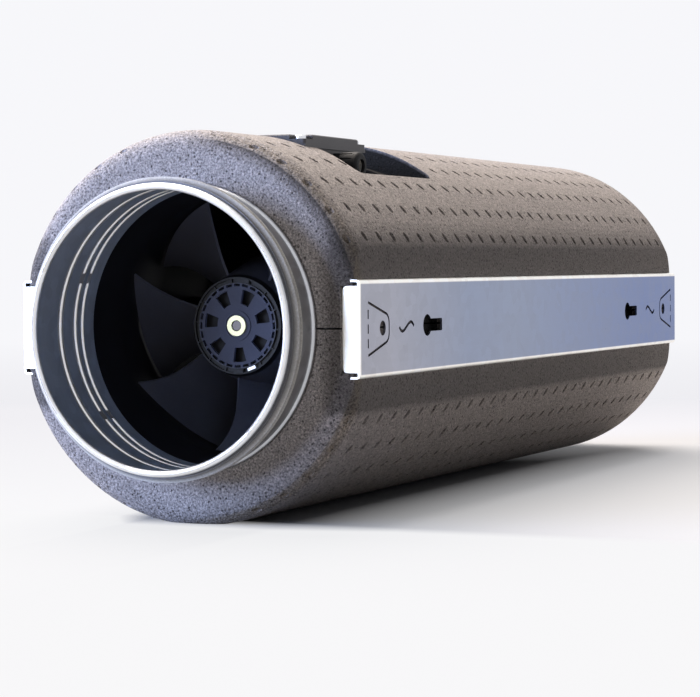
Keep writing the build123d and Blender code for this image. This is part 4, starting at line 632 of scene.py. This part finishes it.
def rubber_finish(name, plastic, roughness, pores, specular=0.35, glinting=False):
    """Rubber or cellular rubber, dusted here and there, and with a painted highlight along the edges of the
    lip seals.
    """
    finish = Finish(name, Specular_IOR_Level=specular)
    skin = finish.noise(1 / pores)
    dust = finish.noise(38.0, detail=5.0).ramp(0.45, 0.75)
    tone = plastic.rubber
    if glinting:
        # Painted highlight along the lips' outer edge.
        start, full = LIP_HIGHLIGHT
        tone = finish.blend(finish.radius().ramp(LIP_R - start, LIP_R - full), tone, plastic.lips)
    finish.wear(Base_Color=finish.blend(dust * 0.3, finish.shade(tone, skin.around(0.8)), plastic.dust),
                Roughness=skin.around(0.16, roughness))
    return finish.bump(skin, 0.00012)


def wheel_finish(plastic):
    """Glass-filled wheel: glossy dark blades with flow marks, a matt disc at the hub's front, and painted
    shade round the disc.
    """
    finish = Finish("wheel_plastic", Specular_IOR_Level=0.35)
    texture = finish.noise(900.0, rough=0.6)
    flows = finish.noise(28.0, detail=4.0, where=finish.stretched(1.0, 0.35, 1.0))
    disc = finish.radius().ramp(*HUB_DISC)
    # Painted shade in the groove and on the rim round the hub's disc.
    groove = finish.radius().ramp(*GROOVE_SHADE_INNER) * finish.radius().ramp(*GROOVE_SHADE_OUTER)
    tone = finish.blend(disc, plastic.wheel, plastic.disc)
    tone = finish.blend(groove, tone, plastic.groove)
    finish.wear(Base_Color=finish.shade(tone, texture.around(0.24) * flows.around(0.5)),
                Roughness=texture * 0.10 + flows * 0.14 + disc * 0.2 + 0.33)
    return finish.bump(texture, 0.00004)


def lining_finish(tone):
    """Glass fibre sleeve with a scrim: crossed threads over a fibrous felt."""
    finish = Finish("silencer_fibre")
    fibre = finish.noise(420.0, detail=5.0, rough=0.65, where=finish.stretched(1.0, 0.3, 1.0))
    thread = finish.waves(0.004, distortion=0.4)
    felt = finish.noise(60.0, detail=4.0)
    light = fibre.around(0.7) * (thread * 0.25 + 0.87) * felt.around(0.4)
    finish.wear(Base_Color=finish.shade(tone, light), Roughness=fibre.around(0.1, 0.9))
    return finish.bump(fibre + thread * 0.5, 0.0004)


def laminated_finish(name, tone, width, roughness):
    """Stacked sheets or wound wire: close lines across the axis."""
    finish = Finish(name, Metallic=1.0)
    sheets = finish.waves(width)
    patch = finish.noise(90.0)
    finish.wear(Base_Color=finish.shade(tone, (sheets * 0.5 + 0.6) * patch.around(0.4)),
                Roughness=patch.around(0.2, roughness))
    return finish.bump(sheets, 0.0002)


def board_finish(board):
    """Circuit board: solder mask with tracks that show through it and tinned pads."""
    finish = Finish("circuit_board")
    flattened = finish.stretched(1.0, 0.05, 1.0)
    track = finish.reach(finish.cells(0.006, "DISTANCE_TO_EDGE", flattened)).ramp(0.10, 0.06)
    pads = finish.reach(finish.cells(0.0045, where=flattened)).ramp(0.16, 0.12)
    grain = finish.noise(300.0, detail=2.0)
    finish.wear(Base_Color=finish.blend(pads, finish.blend(track, board.mask, board.track), board.pads),
                Roughness=grain.around(0.2, 0.4))
    return finish.bump(track + grain * 0.2, 0.00006)


def dress(finish, *names):
    """Gives CAD nodes their finish, in the slots that they came with."""
    for name in names:
        for place in NODES[name].material_slots:
            place.material = finish.material


# ---------------------------------------------------------------- modelling
def pick(piece):
    """Makes a piece the only one selected, and the active one."""
    bpy.ops.object.select_all(action="DESELECT")
    piece.select_set(True)
    bpy.context.view_layer.objects.active = piece


def settle(piece):
    """Puts a piece's place into its mesh."""
    pick(piece)
    bpy.ops.object.transform_apply(location=True, rotation=True, scale=True)


def merged_copy(node, name):
    """A copy of a CAD node's mesh, with its loose triangles merged into one closed skin."""
    piece = bpy.data.objects.new(name, NODES[node].data.copy())
    bpy.context.collection.objects.link(piece)
    pick(piece)
    bpy.ops.object.mode_set(mode="EDIT")
    bpy.ops.mesh.select_all(action="SELECT")
    bpy.ops.mesh.remove_doubles(threshold=WELD)
    bpy.ops.mesh.customdata_custom_splitnormals_clear()
    bpy.ops.object.mode_set(mode="OBJECT")
    return piece


def slit_cutter(foam):
    """One spindle that cuts a slit, lying across the top of the body at the first slit's place."""
    bpy.ops.mesh.primitive_uv_sphere_add(segments=8, ring_count=5, radius=1.0)
    cutter = bpy.context.object
    cutter.rotation_euler = (0.0, pi / 2, 0.0)
    settle(cutter)
    cutter.scale = (foam.slit_length / 2, foam.slit_width / 2, foam.slit_depth)
    settle(cutter)
    cutter.rotation_euler = (0.0, 0.0, foam.slit_slant)
    cutter.location = (0.0, BODY_FRONT + foam.slit_start, AXIS_Z + BODY_R)
    settle(cutter)
    return cutter


def slit_row(cutter, foam, first, count, drop):
    """A straight row of cutters along the top, from the first slit's number on, set lower by the drop."""
    row = bpy.data.objects.new("slit_row", cutter.data.copy())
    bpy.context.collection.objects.link(row)
    row.location = (0.0, first * foam.slit_pitch, -drop)
    settle(row)
    repeat = row.modifiers.new("Along the body", "ARRAY")
    repeat.count = count
    repeat.use_relative_offset = False
    repeat.use_constant_offset = True
    repeat.constant_offset_displace = (0.0, foam.slit_pitch, 0.0)
    bpy.ops.object.modifier_apply(modifier=repeat.name)
    return row


def round_the_axis(piece, angle, mirrored_x, mirrored_z):
    """Turns a piece about the fan's axis, then mirrors it to the other side or the lower shell."""
    to_axis = Matrix.Translation((0.0, 0.0, AXIS_Z))
    mirror = Matrix.Diagonal((-1.0 if mirrored_x else 1.0, 1.0, -1.0 if mirrored_z else 1.0, 1.0))
    piece.matrix_world = to_axis @ mirror @ Matrix.Rotation(angle, 4, "Y") @ to_axis.inverted()
    settle(piece)
    if mirrored_x != mirrored_z:
        bpy.ops.object.mode_set(mode="EDIT")
        bpy.ops.mesh.select_all(action="SELECT")
        bpy.ops.mesh.flip_normals()
        bpy.ops.object.mode_set(mode="OBJECT")


def slit_rows(foam, lower):
    """Every row of cutters for one shell, joined. The upper shell has no slits at the terminal box."""
    cutter = slit_cutter(foam)
    last = foam.slits - 1
    rows = []
    for angle, left_out in SLIT_ROWS:
        runs = [(0, 1, END_DROP), (last, 1, END_DROP)]
        if left_out and not lower:
            gone, again = left_out
            runs += [(1, gone - 1, 0.0), (again, last - again, 0.0)]
        else:
            runs += [(1, last - 1, 0.0)]
        for first, count, drop in runs:
            for left in (False, True):
                row = slit_row(cutter, foam, first, count, drop)
                round_the_axis(row, radians(angle), left, lower)
                rows.append(row)
    bpy.data.objects.remove(cutter)
    pick(rows[0])
    for row in rows:
        row.select_set(True)
    bpy.ops.object.join()
    return bpy.context.object


def parting_cutter(foam, low, high):
    """A flat slab that trims the upper shell's underside, so that the shells part by a fine gap."""
    below_axis = (foam.parting - OVERLAP) / 2
    bpy.ops.mesh.primitive_cube_add(size=1.0, location=(0.0, 0.0, AXIS_Z + below_axis))
    slab = bpy.context.object
    slab.scale = (4 * BODY_R, 2 * (high.y - low.y), foam.parting + OVERLAP)
    settle(slab)
    return slab


def cut_away(piece, cutter):
    """Cuts a closed mesh out of a piece and removes the cutter."""
    pick(piece)
    cut = piece.modifiers.new("Cut", "BOOLEAN")
    cut.operation = "DIFFERENCE"
    cut.solver = "MANIFOLD"
    cut.object = cutter
    before = len(piece.data.polygons)
    bpy.ops.object.modifier_apply(modifier=cut.name)
    bpy.data.objects.remove(cutter)
    if len(piece.data.polygons) == before or not piece.data.polygons:
        raise RuntimeError(f"{piece.name}: the cut changed nothing")


def smooth(piece):
    """Shades a piece smooth between its sharp edges, with even normals on its flat parts."""
    pick(piece)
    bpy.ops.object.shade_smooth_by_angle(angle=CREASE)
    even = piece.modifiers.new("Even normals", "WEIGHTED_NORMAL")
    even.keep_sharp = True
    bpy.ops.object.modifier_apply(modifier=even.name)


def stand_for(piece, node, finish):
    """Lets a new piece of the casing stand for a CAD node, with that finish alone."""
    piece.data.materials.clear()
    piece.data.materials.append(finish.material)
    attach(piece, CASING)
    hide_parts(node)


# ---------------------------------------------------------------- operators
class DUCTFAN_OT_foam_shells(Operator):
    """Moulds the two foam shells, with steam slits in rows and a fine parting gap"""
    bl_idname = "ductfan.foam_shells"
    bl_label = "Foam shells"

    def execute(self, context):
        foam = context.scene.duct_foam
        finish = foam_finish(foam)
        for name, lower in (("upper_foam", False), ("lower_foam", True)):
            node = name.replace("foam", "shell")
            piece = merged_copy(node, name)
            if not lower:
                cut_away(piece, parting_cutter(foam, *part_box(node)))
            cut_away(piece, slit_rows(foam, lower))
            smooth(piece)
            stand_for(piece, node, finish)
        return {"FINISHED"}


class DUCTFAN_OT_collars_and_rails(Operator):
    """Gives the collars and the mounting rails their galvanised sheet"""
    bl_idname = "ductfan.collars_and_rails"
    bl_label = "Collars and rails"

    def execute(self, context):
        steel = context.scene.duct_steel
        dress(zinc_finish("rail_zinc", steel, (4.0, 0.12, 4.0), rail_tone), "left_rail", "right_rail")
        dress(zinc_finish("collar_zinc", steel, (0.6, 5.0, 0.6), collar_tone),
              "inlet_collar", "outlet_collar")
        return {"FINISHED"}


class DUCTFAN_OT_seals(Operator):
    """Finishes the lip seals, gaskets, isolators, grommet and motor cable"""
    bl_idname = "ductfan.seals"
    bl_label = "Seals and isolators"

    def execute(self, context):
        plastic = context.scene.duct_plastic
        dress(rubber_finish("seal_rubber", plastic, 0.36, pores=0.0012, specular=0.8, glinting=True),
              "inlet_lip_seal", "outlet_lip_seal", "lid_seal", "gland_seal", "cable_grommet")
        dress(rubber_finish("cellular_rubber", plastic, 0.8, pores=0.0022),
              "front_isolator", "rear_isolator")
        dress(rubber_finish("cable_sheath", plastic, 0.48, pores=0.0005), "motor_cable")
        return {"FINISHED"}


class DUCTFAN_OT_housing(Operator):
    """Finishes the inlet cone, the vane housing, the tail cone and the silencer lining"""
    bl_idname = "ductfan.housing"
    bl_label = "Fan housing and lining"

    def execute(self, context):
        plastic = context.scene.duct_plastic
        dress(moulded_finish("housing_plastic", plastic.housing, 0.52, specular=0.08),
              "inlet_cone", "vane_housing", "tail_cone")
        dress(lining_finish(plastic.lining), "silencer_lining")
        return {"FINISHED"}


class DUCTFAN_OT_wheel(Operator):
    """Finishes the fan wheel, its balance clip and the brass parts"""
    bl_idname = "ductfan.wheel"
    bl_label = "Fan wheel"

    def execute(self, context):
        metal = context.scene.duct_metal
        dress(wheel_finish(context.scene.duct_plastic), "fan_wheel")
        dress(metal_finish("turned_brass", metal.brass, 0.34, stretch=(1.0, 6.0, 1.0)),
              "hub_bush", "bearing_cages", "terminal_screws")
        dress(metal_finish("clip_zinc", metal.clip, 0.36), "balance_clip")
        return {"FINISHED"}


class DUCTFAN_OT_motor(Operator):
    """Finishes the motor's can, magnets, core, windings, shaft and bearings"""
    bl_idname = "ductfan.motor"
    bl_label = "Motor"

    def execute(self, context):
        metal = context.scene.duct_metal
        # The rotor can is near black and not metal: painted shade for the dark seen through the wheel's
        # windows.
        dress(moulded_finish("can_in_painted_shade", metal.can, 0.5, specular=0.25), "rotor_can")
        dress(metal_finish("sintered_magnet", metal.magnets, 0.55, scale=600.0), "rotor_magnets")
        dress(laminated_finish("core_sheets", metal.core, 0.0006, 0.45), "stator_core")
        dress(laminated_finish("enamelled_copper", metal.copper, 0.0009, 0.32), "stator_windings")
        dress(metal_finish("turned_shaft_steel", metal.shaft, 0.42, stretch=(1.0, 7.0, 1.0)),
              "motor_shaft")
        dress(metal_finish("ground_steel", metal.bearings, 0.22, stretch=(1.0, 7.0, 1.0)),
              "bearing_inner_rings", "bearing_outer_rings", "bearing_balls", "shaft_circlip",
              "preload_spring")
        dress(metal_finish("cast_aluminium", metal.castings, 0.50, scale=900.0, depth=0.00008),
              "motor_flange", "electronics_pot")
        return {"FINISHED"}


class DUCTFAN_OT_electronics(Operator):
    """Finishes the control board and what stands on it"""
    bl_idname = "ductfan.electronics"
    bl_label = "Control board"

    def execute(self, context):
        board = context.scene.duct_board
        dress(board_finish(board), "control_board")
        dress(moulded_finish("component_sleeves", board.sleeves, 0.3), "board_components")
        return {"FINISHED"}


class DUCTFAN_OT_terminal_box(Operator):
    """Finishes the terminal box, its gland, plug, terminals and speed trimmer"""
    bl_idname = "ductfan.terminal_box"
    bl_label = "Terminal box"

    def execute(self, context):
        plastic = context.scene.duct_plastic
        dress(moulded_finish("box_plastic", plastic.box, 0.5, grain=0.0006, depth=0.00006),
              "terminal_box_base", "terminal_box_lid", "blanking_plug")
        dress(moulded_finish("gland_plastic", plastic.gland, 0.62, specular=0.2),
              "gland_body", "gland_nut", "gland_locknuts")
        dress(moulded_finish("terminal_plastic", plastic.terminal, 0.4, flow=0.12),
              "terminal_block", "trimmer_body")
        dress(moulded_finish("knob_plastic", plastic.knob, 0.35, flow=0.1), "trimmer_knob")
        dress(metal_finish("earth_brass", context.scene.duct_metal.earth, 0.35), "earth_terminal")
        return {"FINISHED"}


class DUCTFAN_OT_fasteners(Operator):
    """Gives the screws their bright zinc"""
    bl_idname = "ductfan.fasteners"
    bl_label = "Screws"

    def execute(self, context):
        dress(metal_finish("bright_zinc", context.scene.duct_metal.screws, 0.27),
              "housing_screws", "motor_screws", "board_screws", "lid_screws", "box_screws")
        return {"FINISHED"}


def hang_lamp(name, power, tone, way, spread):
    """A broad lamp far away that shines one way."""
    lamp = bpy.data.lights.new(name, "SUN")
    lamp.energy = power
    lamp.color = tone
    lamp.angle = spread
    holder = bpy.data.objects.new(name, lamp)
    holder.rotation_euler = Vector(way).to_track_quat("-Z", "Y").to_euler()
    bpy.context.collection.objects.link(holder)


def set_camera(stage):
    """Sets the camera before the inlet, to its right and low above the floor."""
    camera = bpy.data.objects.new("camera", bpy.data.cameras.new("camera"))
    bpy.context.collection.objects.link(camera)
    camera.data.lens = stage.lens
    camera.data.shift_x, camera.data.shift_y = stage.shift
    camera.data.clip_end = VIEW_END
    camera.location = stage.eye
    turn = (Matrix.Rotation(stage.yaw, 4, "Z") @ Matrix.Rotation(pi / 2 - stage.pitch, 4, "X")
            @ Matrix.Rotation(stage.roll, 4, "Z"))
    camera.rotation_euler = turn.to_euler()
    bpy.context.scene.camera = camera


def light_room(stage):
    """The room's own light, and the pale wall that the camera and shiny surfaces see."""
    world = bpy.data.worlds.new("studio")
    world.use_nodes = True
    nodes = Nodes(world.node_tree)
    air = nodes.feed(world.node_tree.nodes["Background"],
                     {"Color": (*stage.air, 1.0), "Strength": stage.fill})
    wall = nodes.add("ShaderNodeBackground", {}, {"Color": (*stage.back, 1.0)})
    seen = nodes.either(nodes.looked_at(), air, wall)
    nodes.feed(world.node_tree.nodes["World Output"], {"Surface": seen.outputs[0]})
    bpy.context.scene.world = world


def floor_finish(stage):
    """Pale floor that fades into the wall behind the fan. Painted light clears the fan's shadow in front
    and at the left, and partly at the right.
    """
    finish = Finish("studio_floor", Roughness=0.9, Specular_IOR_Level=0.0)
    depth = finish.add("ShaderNodeVectorMath", {"operation": "DOT_PRODUCT"},
                       {0: finish.place, 1: (-sin(stage.yaw), cos(stage.yaw), 0.0)})
    away = Value(finish, depth.outputs["Value"])
    finish.wear(Base_Color=finish.blend(away.ramp(*BOUNCE_RISE), stage.bounce, stage.far_bounce))
    glow = finish.blend(away.ramp(*HAZE_RISE), stage.near, stage.haze)
    glow = finish.blend(away.ramp(*WALL_RISE), glow, stage.back)
    paper = finish.add("ShaderNodeBsdfDiffuse", {}, {"Color": (*stage.floor, 1.0)})
    wall = finish.add("ShaderNodeEmission", {}, {"Color": glow})
    x, y, _ = finish.axes()
    # Painted light: the floor glows near the fan, which clears its shadow in front and at the left, and
    # partly at the right.
    clear = y.ramp(*CLEAR_FRONT) * CLEAR + x.ramp(*CLEAR_LEFT) * CLEAR
    clear = (clear + x.ramp(*CLEAR_RIGHT) * HALF_CLEAR).least(CLEAREST)
    seen = finish.either(away.ramp(*SHADOW_FADE).most(clear), paper, wall)
    both = finish.either(finish.looked_at(), finish.shader, seen)
    finish.feed(finish.tree.nodes["Material Output"], {"Surface": both.outputs[0]})
    return finish


class DUCTFAN_OT_studio(Operator):
    """Lays the floor, hangs the lamps and sets the camera"""
    bl_idname = "ductfan.studio"
    bl_label = "Studio"

    def execute(self, context):
        stage = context.scene.duct_stage
        bpy.ops.mesh.primitive_plane_add(size=FLOOR_SIZE)
        floor = context.object
        floor.name = "studio_floor"
        floor.data.materials.append(floor_finish(stage).material)
        light_room(stage)
        hang_lamp("overhead_lamp", stage.overhead, stage.overhead_tone, stage.overhead_aim,
                  stage.overhead_spread)
        hang_lamp("window_lamp", stage.window, stage.window_tone, stage.window_aim,
                  stage.window_spread)
        set_camera(stage)
        context.scene.view_settings.view_transform = "Standard"
        return {"FINISHED"}


class DUCTFAN_PT_sidebar(Panel):
    """Lists the groups of pieces, and their sizes and colours"""
    bl_idname = "DUCTFAN_PT_sidebar"
    bl_label = "Duct fan"
    bl_space_type = "VIEW_3D"
    bl_region_type = "UI"
    bl_category = "Duct fan"

    def draw(self, context):
        column = self.layout.column()
        for operator in OPERATORS:
            column.operator(operator.bl_idname)
        for name, group in GROUPS:
            sizes = getattr(context.scene, name)
            column.separator()
            for key in group.__annotations__:
                column.prop(sizes, key)


GROUPS = (("duct_foam", DUCTFAN_foam), ("duct_steel", DUCTFAN_steel), ("duct_plastic", DUCTFAN_plastic),
          ("duct_metal", DUCTFAN_metal), ("duct_board", DUCTFAN_board), ("duct_stage", DUCTFAN_stage))
OPERATORS = (DUCTFAN_OT_foam_shells, DUCTFAN_OT_collars_and_rails, DUCTFAN_OT_seals, DUCTFAN_OT_housing,
             DUCTFAN_OT_wheel, DUCTFAN_OT_motor, DUCTFAN_OT_electronics, DUCTFAN_OT_terminal_box,
             DUCTFAN_OT_fasteners, DUCTFAN_OT_studio)


def register():
    for name, group in GROUPS:
        bpy.utils.register_class(group)
        setattr(bpy.types.Scene, name, PointerProperty(type=group))
    for operator in OPERATORS:
        bpy.utils.register_class(operator)
    bpy.utils.register_class(DUCTFAN_PT_sidebar)


def unregister():
    bpy.utils.unregister_class(DUCTFAN_PT_sidebar)
    for operator in reversed(OPERATORS):
        bpy.utils.unregister_class(operator)
    for name, group in reversed(GROUPS):
        delattr(bpy.types.Scene, name)
        bpy.utils.unregister_class(group)


def main():
    register()
    bpy.ops.object.select_all(action="DESELECT")
    bpy.ops.ductfan.foam_shells()
    bpy.ops.ductfan.collars_and_rails()
    bpy.ops.ductfan.seals()
    bpy.ops.ductfan.housing()
    bpy.ops.ductfan.wheel()
    bpy.ops.ductfan.motor()
    bpy.ops.ductfan.electronics()
    bpy.ops.ductfan.terminal_box()
    bpy.ops.ductfan.fasteners()
    bpy.ops.ductfan.studio()


if __name__ == "__main__":
    main()
